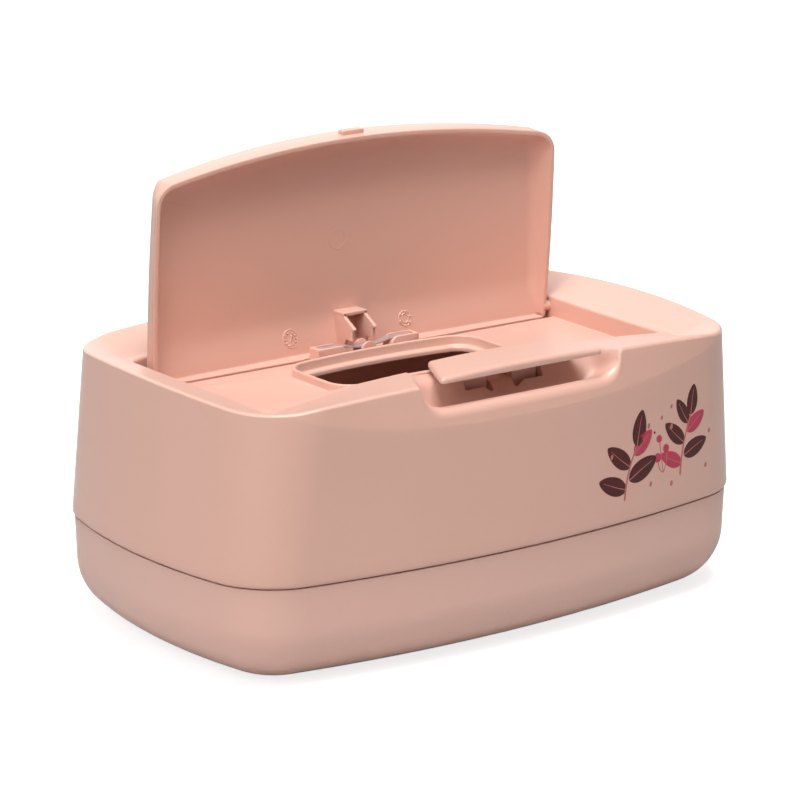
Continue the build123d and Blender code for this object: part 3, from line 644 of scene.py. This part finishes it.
    def roof(flat):
        """Underside of scoop and rim: a wall below the rim and below the scoop's lowest height."""
        s = np.where(front, scoop_share(flat[:, 0], np.minimum(flat[:, 1], -20)), 1.0)
        floor = SCOOP_Z - SCOOP_DIP
        return floor + (rim_height(flat[:, 0], flat[:, 1]) - floor) * s - ROOF_WALL

    rows.append(at(behind, np.maximum(roof(behind) - 2.0, WALL_UNDER_Z + 0.2)))
    for f in np.linspace(0, 1, 10):
        flat = behind + (inside_top - behind) * f
        rows.append(at(flat, roof(flat)))
    roof_end = roof(inside_top)
    for f in (0.2, 0.4, 0.6, 0.8, 1.0):
        z = roof_end + (SEAM_Z - roof_end) * f
        rows.append(at(outer_wall(z, top, ones * WALL), z))
    return wrap(rows)


def polar_columns(count, *outlines):
    """Points of each closed outline at the same directions from the deck's middle: those of all the outlines'
    own points, so that no corner is lost, and count even ones."""
    middle = np.array([0.0, 0.4])
    by_angle = []
    for flat in outlines:
        angle = np.arctan2(*(flat - middle).T[::-1])
        order = np.argsort(angle)
        by_angle.append((angle[order], flat[order]))
    want = np.concatenate([a for a, _ in by_angle] + [np.linspace(-pi, pi, count)])
    want = np.unique(np.round(want, 4))
    want = want[(want > -pi) & (want <= pi)]
    found = []
    for angle, flat in by_angle:
        angle = np.concatenate([[angle[-1] - 2 * pi], angle, [angle[0] + 2 * pi]])
        flat = np.concatenate([flat[-1:], flat, flat[:1]])
        found.append(np.stack([np.interp(want, angle, flat[:, i]) for i in (0, 1)], 1))
    return found


def collar_outline(inset):
    """The slot collar's outline moved in by inset: straight front and sides, bowed back, round corners."""
    side, low, high = COLLAR_HALF - inset, COLLAR_FRONT + inset, COLLAR_BACK - inset
    corner = COLLAR_CORNER - inset
    radius = bow_radius(COLLAR_HALF, COLLAR_BOW) - inset
    bow_middle = np.array([0, high - radius])
    k = np.array([side - corner, bow_middle[1] + sqrt((radius - corner) ** 2 - (side - corner) ** 2)])
    touch = k + (k - bow_middle) / np.linalg.norm(k - bow_middle) * corner
    low_k, foot = np.array([side - corner, low + corner]), np.array([side - corner, low])
    side_low, side_high = np.array([side, low + corner]), np.array([side, k[1]])
    return mirrored(np.concatenate([
        np.array([[0.0, low]]), foot[None], arc(low_k, foot, side_low, 12), side_high[None],
        arc(k, side_high, touch, 10), arc(bow_middle, touch, np.array([0, high]), 12)]))


def deck():
    """Deck with the slot's collar: a ring from the sunk top's wall to the slot, closed both ways. A column is
    a direction from the deck's middle, and its rows cross the deck and step over the collar, with a quarter
    circle at each edge."""
    edge = recess_line - inward(recess_line) * 0.8
    edge = np.stack([edge[:, 0], np.minimum(edge[:, 1], DECK_BACK)], 1)
    edge = edge[np.append(True, np.linalg.norm(np.diff(edge, axis=0), axis=1) > 1e-6)]
    outlines = [collar_outline(inset) for inset in (-0.5, 0.0, COLLAR_WALL, SLOT_INSET)]
    outer, foot, wall_out, wall_in, lip = polar_columns(90, edge, *outlines)
    out_in, in_in, lip_in = (inward(c) for c in (wall_out, wall_in, lip))
    t = np.linspace(0, pi / 2, 4)
    edge_r, foot_r, top_r, step_r, lip_r = 0.35, 0.5, 0.55, 0.5, 0.7
    rows = [at(outer, DECK_UNDER_Z), at(outer, DECK_Z - edge_r)]
    back = (outer[:, 1] > DECK_BACK - 0.01)[:, None]
    for a in t[1:]:
        moved = np.where(back, outer - (0, edge_r * (1 - cos(a))), outer)
        rows.append(at(moved, DECK_Z - edge_r * (1 - sin(a))))
    rows.append(at(foot, DECK_Z))
    for a in t[1:]:
        rows.append(at(wall_out - out_in * foot_r * (1 - sin(a)), DECK_Z + foot_r * (1 - cos(a))))
    for a in t:
        rows.append(at(wall_out + out_in * top_r * (1 - cos(a)), COLLAR_Z - top_r * (1 - sin(a))))
    for a in t:
        rows.append(at(wall_in - in_in * top_r * (1 - sin(a)), COLLAR_Z - top_r * (1 - cos(a))))
    for a in t:
        rows.append(at(wall_in + in_in * step_r * (1 - cos(a)), SLOT_EDGE_Z + step_r * (1 - sin(a))))
    for a in t:
        rows.append(at(lip - lip_in * lip_r * (1 - sin(a)), SLOT_EDGE_Z - lip_r * (1 - cos(a))))
    rows.append(at(lip, DECK_UNDER_Z))
    return wrap(rows)


def block(side):
    """Spring block: a rectangle whose top inner corner is round, carried from front to back."""
    outline = rounded([(BLOCK_IN, WALL_UNDER_Z), (BLOCK_OUT, WALL_UNDER_Z), (BLOCK_OUT, BLOCK_Z),
                       (BLOCK_IN, BLOCK_Z)], [0.3, 0.3, 0.35, 3.0])
    outline[:, 0] *= side
    return slab(outline, BLOCK_FRONT, BLOCK_BACK, 0.3, "y")


def ear(front_y):
    """Guide ear of the leaf spring: a straight foot under half a disc, carried back by its thickness."""
    t = np.linspace(0, pi, 21)
    head = np.stack([EAR_RADIUS * np.cos(t), EAR_Z + EAR_RADIUS * np.sin(t)], 1)
    outline = np.concatenate([[(EAR_RADIUS, EAR_FOOT_Z)], head, [(-EAR_RADIUS, EAR_FOOT_Z)]])
    return slab(outline, front_y, front_y + EAR_WALL, 0.2, "y")


def lug(low_x, high_x):
    """Lug of the button's pin: half a disc under a straight top, carried from low_x to high_x."""
    y, z = PIN
    t = np.linspace(pi, 2 * pi, 21)
    round_foot = np.stack([y + LUG_RADIUS * np.cos(t), z + LUG_RADIUS * np.sin(t)], 1)
    outline = np.concatenate([round_foot, [(y + LUG_RADIUS, LUG_TOP), (y - LUG_RADIUS, LUG_TOP)]])
    return slab(outline, low_x, high_x, 0.25, "x")


pin_hole = rod(-30, 30, *PIN, PIN_HOLE, 0.05)

shell = piece("housing_shell", "upper", pink, housing_shell())
leg_slots = both(box, LEG_IN - LEG_PLAY, LEG_OUT + LEG_PLAY, LEG_SLOT_FRONT, LEG_SLOT_BACK,
                 70, 93.6, 0.1, 0.5)
cut(shell, *leg_slots, *both(rod, 80, 91.2, *HINGE, STUB_HOLE, 0.1))
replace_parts(shell, "housing")

cheek_slots = both(box, CHEEK_SLOT_IN, CHEEK_SLOT_OUT, CHEEK_SLOT_FRONT, CHEEK_SLOT_BACK, 70, 90, 0.1, 0.4)
deck_part = piece("housing_deck", "upper", pink, deck())
trough = piece("hinge_trough", "upper", pink,
               box(-TROUGH_HALF, TROUGH_HALF, DECK_BACK - 0.5, TROUGH_BACK, TROUGH_UNDER_Z, TROUGH_Z,
                   0.1, TROUGH_CORNER))
blocks = piece("spring_blocks", "upper", pink, block(-1), block(1))
ears = piece("guide_ears", "upper", pink, ear(BLOCK_FRONT), ear(BLOCK_BACK - EAR_WALL))
cut(deck_part, *cheek_slots)
cut(trough, *cheek_slots)
cut(blocks, box(-LEAF_SLOT_HALF, LEAF_SLOT_HALF, LEAF_SLOT_FRONT, LEAF_SLOT_BACK, LEAF_SLOT_Z, 90,
                0.1, 0.2))
lugs = piece("pin_lugs", "upper", pink,
             lug(LEG_OUT + LEG_PLAY, LUG_OUT), lug(-LUG_OUT, -LEG_OUT - LEG_PLAY))
cut(lugs, pin_hole)
for made in (deck_part, trough, blocks, ears, lugs):
    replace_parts(made, "housing")


# Lid


def lid_world(grid):
    """Lid coordinates (across, up the lid from the hinge, depth behind the rim) in the open place."""
    x, s, d = np.moveaxis(grid, -1, 0)
    foot_y, foot_z = LID_FOOT
    return np.stack([x, foot_y - sin(LEAN) * s + cos(LEAN) * d, foot_z + cos(LEAN) * s + sin(LEAN) * d], -1)


def lid_outline():
    """Outline in the lid's plane: bowed front edge, round front corners, bowed sides, straight tail."""
    radius = bow_radius(LID_FRONT_HALF, LID_BOW)
    front_c = np.array([0, LID_LENGTH - radius])
    side_top = LID_LENGTH - LID_BOW
    half_s = (side_top + LID_TAIL) / 2
    side_r = bow_radius(half_s, LID_SIDE_BOW)
    side_c = np.array([(LID_HALF + LID_FRONT_HALF) / 2 + LID_SIDE_BOW - side_r, side_top - half_s])
    k = meet(front_c, radius - LID_CORNER, side_c, side_r - LID_CORNER, np.array([1.0, 1.0]))
    start = front_c + (k - front_c) / np.linalg.norm(k - front_c) * radius
    side_high = side_c + (k - side_c) / np.linalg.norm(k - side_c) * side_r
    tail_s = LID_TAIL_CORNER - LID_TAIL
    reach = sqrt((side_r - LID_TAIL_CORNER) ** 2 - (tail_s - side_c[1]) ** 2)
    tail_k = np.array([side_c[0] + reach, tail_s])
    side_low = side_c + (tail_k - side_c) / np.linalg.norm(tail_k - side_c) * side_r
    tail_end = np.array([tail_k[0], -LID_TAIL])
    x = np.linspace(0, tail_end[0], 26)[:, None]
    tail = np.concatenate([x, np.full_like(x, -LID_TAIL)], 1)
    right = [tail, arc(tail_k, tail_end, side_low, 6), arc(side_c, side_low, side_high, 18),
             arc(k, side_high, start, 14), arc(front_c, start, np.array([0, LID_LENGTH]), 26)]
    return mirrored(np.concatenate(right))


def lid_arch(x):
    """Parabola across the lid: 1 in the middle, and nothing beyond its sides."""
    return 1 - (x / LID_ARCH_HALF) ** 2


def lid_rim(x, s):
    """Depth of the rim's edge: nothing just below the hinge, arched more and more towards the front edge."""
    return LID_RIM_ARCH * (s + LID_RIM_BEHIND) / LID_RIM_RUN * lid_arch(x)


def lid_back(x, s):
    """Depth of the outer arch, which deepens from the hinge to the front edge."""
    return LID_DEPTH + s / LID_REACH + (LID_CROWN + LID_CROWN_MORE * s / LID_REACH) * lid_arch(x)


def lid_inner(x, s):
    """Depth of the inner arch: a wall below the outer one, thicker towards the tail along a smooth step."""
    low = np.clip((LID_STEP_END - s) / LID_STEP_RUN, 0, 1)
    return lid_back(x, s) - LID_WALL - LID_TAIL_EXTRA * low * low * (3 - 2 * low)


def lid_shell():
    """Arched tray shape as one closed skin. A column is a place on the lid's outline, and its rows come from
    the outer arch's middle over the round edge to the rim, up the inner wall and over the inner arch to its
    middle. The walls lean outwards towards the rim by the flare."""
    flat = lid_outline()
    into, s = inward(flat), flat[:, 1]
    ends = np.clip(np.abs(into[:, 0]) * 1.4 - 0.4, 0, 1) * np.clip((s + LID_TAIL) / 6, 0, 1)
    flare = ((LID_FLARE + LID_FLARE_MORE * np.clip(s / 72, 0, 1)) * ends)[:, None]
    low = np.clip((6 - s) / 8, 0, 1)
    r_out = 1.2 + 2.4 * np.where(np.abs(into[:, 1]) > 0.5, low, low * np.abs(into[:, 1]))
    middle = np.array([0.0, 34.0])
    inner = flat + into * np.where(into[:, 1] > 0.5, LID_FRONT_WALL, LID_WALL)[:, None]
    back = flat + into * flare
    rows = []
    begin = back + into * r_out[:, None]
    for f in np.linspace(1, 0, 15):
        place = begin + (middle - begin) * f
        rows.append(at(place, lid_back(*place.T)))
    top = lid_back(*begin.T)
    for a in np.linspace(0, pi / 2, 8)[1:]:
        rows.append(at(begin - into * (r_out * sin(a))[:, None], top - r_out * (1 - cos(a))))
    rim, rim_out, rim_in = lid_rim(*flat.T), 0.3, 0.2
    rows.append(at((flat + back) / 2, (top - r_out + rim) / 2))
    for a in np.linspace(0, pi / 2, 5):
        rows.append(at(flat + into * rim_out * (1 - cos(a)), rim + rim_out * (1 - sin(a))))
    for a in np.linspace(0, pi / 2, 4):
        rows.append(at(inner - into * rim_in * (1 - sin(a)), rim + rim_in * (1 - cos(a))))
    inner_back = inner + into * flare
    floor_d = lid_inner(*inner_back.T)
    r_in = np.minimum(0.75 * (floor_d - rim), 0.6 + 2.4 * (1 - low))
    wall_top = floor_d - r_in
    share = ((wall_top - rim) / (floor_d - rim))[:, None]
    rows.append(at(inner + (inner_back - inner) * share / 2, rim + rim_in + (wall_top - rim - rim_in) / 2))
    for a in np.linspace(0, pi / 2, 8):
        place = inner + (inner_back - inner) * (share + (1 - share) * sin(a))
        rows.append(at(place + into * (r_in * (1 - cos(a)))[:, None], wall_top + r_in * sin(a)))
    end = inner_back + into * r_in[:, None]
    for f in np.linspace(0, 1, 15)[1:]:
        place = end + (middle - end) * f
        leftover = (floor_d - lid_inner(*end.T)) * (1 - np.clip(f * 6, 0, 1))
        rows.append(at(place, lid_inner(*place.T) + leftover))
    return lid_world(np.stack(rows, 1)), True, False


def tilted(made):
    """A skin made in lid coordinates, put in the lid's open place."""
    grid, closed, along = made
    return lid_world(grid), closed, along


def cheek(side):
    """Cheek of the bracket: a side view with a nose and a step in front, carried across by its thickness."""
    outline = [(BRACKET_BACK, BRACKET_Z), (BRACKET_FRONT, BRACKET_Z), (BRACKET_FRONT, BRACKET_UNDER),
               (22.2, 89.6), (23.6, 88.8), (23.6, 85.3), (27.4, 85.3), (28.4, CHEEK_UNDER),
               (BRACKET_BACK, CHEEK_UNDER)]
    low_x, high_x = sorted((side * CHEEK_IN, side * CHEEK_OUT))
    return slab(rounded(outline, 0.25, 3), low_x, high_x, 0.2, "x")


def ring_mark(x, s, radius, tube):
    """Raised ring on the lid's inner face: a small round section swept round a circle."""
    u = np.linspace(0, 2 * pi, 49)[:-1, None]
    v = np.linspace(0, 2 * pi, 9)[None, :-1]
    reach = radius + tube * np.cos(v)
    across, up = x + reach * np.cos(u), s + reach * np.sin(u)
    depth = lid_inner(across, up) - tube * np.sin(v) * 0.9
    return lid_world(np.stack([across, up, depth], -1)), True, True


def bar_mark(x, s, angle, start, end, width, height):
    """Raised bar on the lid's inner face, from start to end along the direction angle: an oval section
    carried along it and closed at both ends."""
    long = np.linspace(start, end, 5)[:, None]
    v = np.linspace(0, 2 * pi, 9)[None, :-1]
    size = np.array([0.0, 1, 1, 1, 0.0])[:, None]
    off = width / 2 * np.cos(v) * size
    across = x + long * cos(angle) - off * sin(angle)
    up = s + long * sin(angle) + off * cos(angle)
    depth = lid_inner(across, up) - height * np.sin(v) * size
    return lid_world(np.stack([across, up, depth], -1)), False, True


def dial_mark(x, s):
    """Date dial: a ring, a tick for each twelfth of it and an arrow, without figures."""
    ticks = [bar_mark(x, s, i * pi / 6, 1.8, 2.6, 0.45, 0.6) for i in range(12)]
    head = [bar_mark(x + 0.55, s + 1.35, radians(angle), -0.1, 0.9, 0.42, 0.65) for angle in (210, 286)]
    return [ring_mark(x, s, 3.0, 0.26), *ticks, bar_mark(x, s, radians(68), -1.3, 1.5, 0.5, 0.65), *head]


def round_mark(x, s):
    """Two rings, one in the other, with six spokes."""
    spokes = [bar_mark(x, s, i * pi / 3 + 0.3, 1.7, 2.9, 0.45, 0.6) for i in range(6)]
    return [ring_mark(x, s, 2.5, 0.26), ring_mark(x, s, 1.5, 0.26), *spokes]


lid_part = piece("lid_shell", "lid_body", pink_lid, lid_shell())
cut(lid_part, box(-TAIL_ROOM_HALF, TAIL_ROOM_HALF, 10, TAIL_ROOM_BACK, 76.8, TAIL_ROOM_Z, 0.1, 0.3))
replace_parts(lid_part, "lid")
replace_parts(piece("lid_bracket", "lid_body", pink_lid, cheek(-1), cheek(1),
                  box(-5.0, 5.0, BRACKET_FRONT, BRACKET_BACK, BRACKET_UNDER, 94.3, 0.2, 0.3)), "lid")
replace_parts(piece("lid_tab", "lid_body", pink_lid,
                  tilted(box(-TAB_HALF, TAB_HALF, TAB_LOW, TAB_HIGH, TAB_NEAR, TAB_FAR, 0.3, 0.5))), "lid")
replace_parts(piece("lid_stubs", "lid_body", pink_lid,
                  *both(rod, STUB_IN, STUB_OUT, *HINGE, STUB_RADIUS)), "lid")
gate_ring = ring_mark(-3.0, 34.5, 3.4, 0.13)
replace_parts(piece("mould_marks", "lid_body", pink_lid,
                  *dial_mark(-24.0, 2.9), *round_mark(24.6, 3.0), gate_ring, slot=None), "lid")


# Release button


def button_plate():
    """Plate of the button: a tapered outline with a flat underside, round edges and a top that is a parabola
    across. A row is the outline moved in round an edge, or shrunk towards its middle."""
    flat = rounded([(-PLATE_FRONT_HALF, PLATE_FRONT), (PLATE_FRONT_HALF, PLATE_FRONT),
                    (PLATE_BACK_HALF, PLATE_BACK), (-PLATE_BACK_HALF, PLATE_BACK)], 1.3, 8)
    gap = np.linalg.norm(np.roll(flat, -1, 0) - flat, axis=1)
    flat = np.concatenate([p + (q - p) * np.linspace(0, 1, max(1, int(g / 2.5)) + 1)[:-1, None]
                           for p, q, g in zip(flat, np.roll(flat, -1, 0), gap) if g > 1e-6])
    into = inward(flat)
    middle = np.array([0.0, -55.5])

    def top(place):
        return PLATE_Z + PLATE_ARCH * (1 - (place[:, 0] / PLATE_ARCH_HALF) ** 2)

    under_r, top_r = 0.3, 1.3
    under = flat + into * under_r
    rows = [at(under + (middle - under) * f, PLATE_UNDER) for f in (1, 0.6, 0.3, 0.1)]
    for a in np.linspace(0, pi / 2, 6):
        rows.append(at(flat + into * under_r * (1 - sin(a)), PLATE_UNDER + under_r * (1 - cos(a))))
    edge = flat + into * top_r
    for a in np.linspace(0, pi / 2, 9):
        rows.append(at(flat + into * top_r * (1 - cos(a)), top(edge) - top_r * (1 - sin(a))))
    for f in np.linspace(0, 1, 12)[1:]:
        place = edge + (middle - edge) * f
        rows.append(at(place, top(place)))
    return np.stack(rows, 1), True, False


button_nose = box(-NOSE_HALF, NOSE_HALF, NOSE_FRONT, NOSE_BACK, NOSE_UNDER, LEG_TOP, 0.2, 0.5)
button = piece("button_plate", "button", pink, button_plate(), button_nose)
legs = piece("button_legs", "button", pink,
             *both(box, LEG_IN, LEG_OUT, LEG_FRONT, LEG_BACK, PIN[1], LEG_TOP, 0.1, 0.5))
bosses = piece("button_bosses", "button", pink, *both(rod, LEG_IN, LEG_OUT, *PIN, BOSS_RADIUS, 0.3))
for made in (legs, bosses):
    cut(made, pin_hole)
for made in (button, legs, bosses):
    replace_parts(made, "release_button")


# Print on the front wall

front_right = slice(0, len(front_outer) + CORNER_STEPS)
wall_seam, wall_rim = seam_line[front_right], rim_line[front_right]
wall_step = np.linalg.norm(np.diff((wall_seam + wall_rim) / 2, axis=0), axis=1)
wall_arc = np.concatenate([[0], np.cumsum(wall_step)])
wall_into = inward(rim_line)[front_right]


def on_wall(along, z, lift):
    """Points of the front wall at the arc length along from its middle and height z, lifted outwards."""
    def column(table):
        return np.stack([np.interp(along, wall_arc, table[:, i]) for i in (0, 1)], -1)

    low_line, high_line, into = column(wall_seam), column(wall_rim), column(wall_into)
    into = into / np.linalg.norm(into, axis=-1)[..., None]
    flat = low_line + (high_line - low_line) * ((z - SEAM_Z) / (RIM_Z - SEAM_Z))[..., None]
    top = rim_height(high_line[..., 0], high_line[..., 1])
    out = facet_bulge(flat[..., 0], flat[..., 1], z, top) + lift
    return np.concatenate([flat - into * out[..., None], z[..., None]], -1)


INK_SUNK, INK_EDGE = -0.3, -0.02


def patch(outline, lift=0.05):
    """Thin printed shape: its outline shrinks to its middle, the edge sunk and the face lifted off the wall.
    The sunk part closes the shape behind the wall's face."""
    middle = outline.mean(0)
    steps = [(share, INK_SUNK) for share in (1, 0.5, 0)] + [(0, INK_EDGE)]
    steps += [(share, lift) for share in (0.04, 0.3, 0.6, 1)]
    rows = []
    for share, out in steps:
        place = outline + (middle - outline) * share
        rows.append(on_wall(place[:, 0], place[:, 1], np.full(len(place), out)))
    return np.stack(rows, 1), True, False


def turned(x, z, angle, long, off):
    """Points at long and off from (x, z), on axes turned by angle in degrees."""
    a = radians(angle)
    return np.stack([x + long * cos(a) - off * sin(a), z + long * sin(a) + off * cos(a)], -1)


def leaf(x, z, angle, length, width):
    """Leaf: half width width / 2 * sin(t)^1.25, fuller near the stalk, along length * (1 - cos t) / 2."""
    t = np.linspace(0, 2 * pi, 61)[:-1]
    long = length * (1 - np.cos(t)) / 2
    off = width / 2 * np.sign(np.sin(t)) * np.abs(np.sin(t)) ** 1.25 * (1 + 0.18 * np.cos(t))
    return patch(turned(x, z, angle, long, off))


def spot(x, z, radius, tall=1.0, angle=0.0):
    """Oval spot: a circle stretched by tall and turned by angle."""
    t = np.linspace(0, 2 * pi, 33)[:-1]
    return patch(turned(x, z, angle, radius * np.cos(t), radius * tall * np.sin(t)))


def stem(start, bend, end, width, taper=0.35, lift=0.05):
    """Printed line along a parabola through a bend, its width falling towards the end."""
    t = np.linspace(0, 1, 25)[:, None]
    path = (1 - t) ** 2 * np.array(start) + 2 * t * (1 - t) * np.array(bend) + t ** 2 * np.array(end)
    along = np.gradient(path, axis=0)
    across = np.stack([-along[:, 1], along[:, 0]], 1) / np.linalg.norm(along, axis=1)[:, None]
    half = width / 2 * (1 - (1 - taper) * t[:, 0]) * np.concatenate([[0], np.ones(len(t) - 2), [0]])
    places = ((-1, INK_SUNK), (-1, INK_EDGE), (-0.8, lift), (0.8, lift), (1, INK_EDGE), (1, INK_SUNK))
    rows = []
    for side, out in places:
        place = path + across * (half * side)[:, None]
        lifted = np.full(len(place), out)
        lifted[[0, -1]] = 0.0
        rows.append(on_wall(place[:, 0], place[:, 1], lifted))
    return np.stack(rows, 1), False, True


# Leaves: arc length from the front's middle, height, angle, length, width and whether the ink is maroon
PRINT_LEAVES = [
    (40.8, 46.5, 158, 13.0, 6.6, True), (42.2, 49.5, 24, 14.5, 7.0, True),
    (43.2, 53.9, 140, 13.0, 6.4, True), (45.2, 57.7, 40, 11.5, 5.6, False),
    (46.6, 60.3, 74, 13.0, 6.2, True), (67.2, 50.4, 152, 11.0, 5.6, False),
    (68.6, 53.0, 20, 12.5, 6.2, True), (69.2, 57.5, 136, 12.0, 5.8, True),
    (70.8, 61.0, 34, 11.0, 5.4, False), (71.8, 64.0, 118, 10.5, 5.0, True),
    (73.2, 66.6, 76, 11.0, 5.2, True),
]
# Twigs: start, bend, end and width; berries and dots: arc length, height and radius
PRINT_TWIGS = [
    ((39.6, 42.6), (41.2, 53.2), (47.0, 61.2), 1.0), ((66.2, 46.1), (67.6, 56.9), (73.6, 67.5), 0.95),
]
PRINT_BERRIES = [(56.0, 54.7, 1.7), (60.2, 57.3, 1.5), (57.2, 61.2, 1.35)]
PRINT_ROSE_DOTS = [
    (52.6, 66.6, 0.65), (59.0, 68.3, 0.5), (63.4, 64.4, 0.7), (52.0, 46.3, 0.6), (61.8, 44.5, 0.65),
    (79.2, 47.4, 0.6), (35.0, 59.0, 0.6), (64.0, 71.4, 0.5), (82.0, 59.3, 0.55),
]
PRINT_MAROON_DOTS = [(55.2, 63.8, 0.45), (61.4, 51.9, 0.45), (50.2, 51.3, 0.45)]
BERRY_FOOT = (58.2, 49.1)

maroon, raspberry, rose = [], [], []
for x, z, angle, length, width, is_maroon in PRINT_LEAVES:
    (maroon if is_maroon else raspberry).append(leaf(x, z, angle, length, width))
    half_way, tip = turned(x, z, angle, 0.45 * length, 0.3), turned(x, z, angle, 0.86 * length, 0)
    rose.append(stem((x, z), half_way, tip, 0.42, 0.3, 0.09))
for start, bend, end, width in PRINT_TWIGS:
    rose.append(stem(start, bend, end, width, 0.6, 0.07))
for x, z, radius in PRINT_BERRIES:
    raspberry.append(spot(x, z, radius))
    rose.append(stem((x + 0.2, z - radius), (x + 0.3, z - radius - 3.0), BERRY_FOOT, 0.45, 0.9))
for x, z, radius in PRINT_ROSE_DOTS:
    rose.append(spot(x, z, radius, 1.6, -20))
for x, z, radius in PRINT_MAROON_DOTS:
    maroon.append(spot(x, z, radius))
for name, material, shapes in (("print_maroon", ink_maroon, maroon),
                               ("print_raspberry", ink_raspberry, raspberry), ("print_rose", ink_rose, rose)):
    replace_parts(piece(name, "upper", material, *shapes, slot=None), "housing")

for name, material in (("base_tray", pink_tray), ("leaf_spring", spring_steel), ("button_pin", spring_steel),
                       ("button_spring", spring_steel), ("foot_1", rubber), ("foot_2", rubber),
                       ("foot_3", rubber), ("foot_4", rubber)):
    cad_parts[name].data.materials.clear()
    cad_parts[name].data.materials.append(material)


# Stage, lamps and camera


def flat_sheet(name, corners, material):
    """Plain sheet of the stage, on four corners in metres."""
    mesh = bpy.data.meshes.new(name)
    mesh.from_pydata(corners, [], [range(4)])
    mesh.materials.append(material)
    made = bpy.data.objects.new(name, mesh)
    bpy.context.scene.collection.objects.link(made)


def ray(graph, kind):
    """1 for a ray of this kind, otherwise 0."""
    return graph.add("ShaderNodeLightPath", output=kind)


def floor_finish():
    """Pale floor: part diffuse, so that it keeps the shadow, and part plain white where the camera looks."""
    g = Graph(bpy.data.materials.new("pale_floor"))
    matt = g.add("ShaderNodeBsdfDiffuse", {}, {"Color": (0.54, 0.54, 0.54, 1)})
    white = g.add("ShaderNodeEmission", {}, {"Strength": ray(g, "Is Camera Ray") * 0.78})
    return g.finish(g.add("ShaderNodeAddShader", {}, {0: matt, 1: white}))


def backdrop_finish():
    """Pale backdrop: plain white where the camera or a reflection looks, and dark as a light."""
    g = Graph(bpy.data.materials.new("pale_backdrop"))
    seen = g.math("MAXIMUM", ray(g, "Is Camera Ray"), ray(g, "Is Glossy Ray"))
    return g.finish(g.add("ShaderNodeEmission", {}, {"Strength": seen}))


def studio_world():
    """Dim even light from all round, and plain white where the camera looks."""
    g = Graph(bpy.data.worlds.new("studio"))
    strength = 0.14 + ray(g, "Is Camera Ray") * 0.86
    light = g.add("ShaderNodeBackground", {}, {"Color": (1, 1, 1, 1), "Strength": strength})
    return g.finish(light, "ShaderNodeOutputWorld")


flat_sheet("floor", [(-6, -6, 0), (6, -6, 0), (6, 6, 0), (-6, 6, 0)], floor_finish())
flat_sheet("backdrop", [(-5, 3.0, 0), (5, 3.0, 0), (5, 3.0, 4), (-5, 3.0, 4)], backdrop_finish())

bpy.context.scene.world = studio_world()


def lamp(name, place, aim, size, power):
    """Soft white square lamp at place that shines towards aim."""
    data = bpy.data.lights.new(name, "AREA")
    data.shape, data.size, data.energy = "SQUARE", size, power
    made = bpy.data.objects.new(name, data)
    made.location = place
    made.rotation_euler = (Vector(aim) - Vector(place)).to_track_quat("-Z", "Y").to_euler()
    bpy.context.scene.collection.objects.link(made)


lamp("top_lamp", (-0.2, -0.3, 1.4), (0, 0, 0.05), 0.7, 22.5)
lamp("left_lamp", (-1.2, -0.5, 0.95), (0, 0, 0.06), 0.9, 8.0)
lamp("back_lamp", (0.45, 1.35, 0.45), (0, 0, 0.08), 1.2, 6.0)

# Camera, as fitted to the photograph: angles in degrees, distance in metres, the rest in pixels of the photo
PHOTO_SIDE, FOCAL, MIDDLE_X, MIDDLE_Y = 800, 3536.058, 404.284, 425.641
BEARING, RISE, ROLL, DISTANCE = radians(-36.41386), radians(15.93507), radians(0.18216), 1.2053809
SENSOR, AIM = 36.0, Vector((0, 0, 0.06))
away = Vector((sin(BEARING) * cos(RISE), -cos(BEARING) * cos(RISE), sin(RISE)))
across = Vector((cos(BEARING), sin(BEARING), 0))
upward = away.cross(across)
right = across * cos(ROLL) + upward * sin(ROLL)
upward = upward * cos(ROLL) - across * sin(ROLL)
camera = bpy.data.objects.new("camera", bpy.data.cameras.new("camera"))
camera.data.sensor_width = SENSOR
camera.data.lens = FOCAL / PHOTO_SIDE * SENSOR
camera.data.shift_x = (PHOTO_SIDE / 2 - MIDDLE_X) / PHOTO_SIDE
camera.data.shift_y = (MIDDLE_Y - PHOTO_SIDE / 2) / PHOTO_SIDE
camera.data.clip_end = 50
turn = Matrix((right, upward, away)).transposed().to_4x4()
camera.matrix_world = Matrix.Translation(AIM + away * DISTANCE) @ turn
bpy.context.scene.collection.objects.link(camera)
bpy.context.scene.camera = camera
bpy.context.scene.view_settings.view_transform = "Standard"
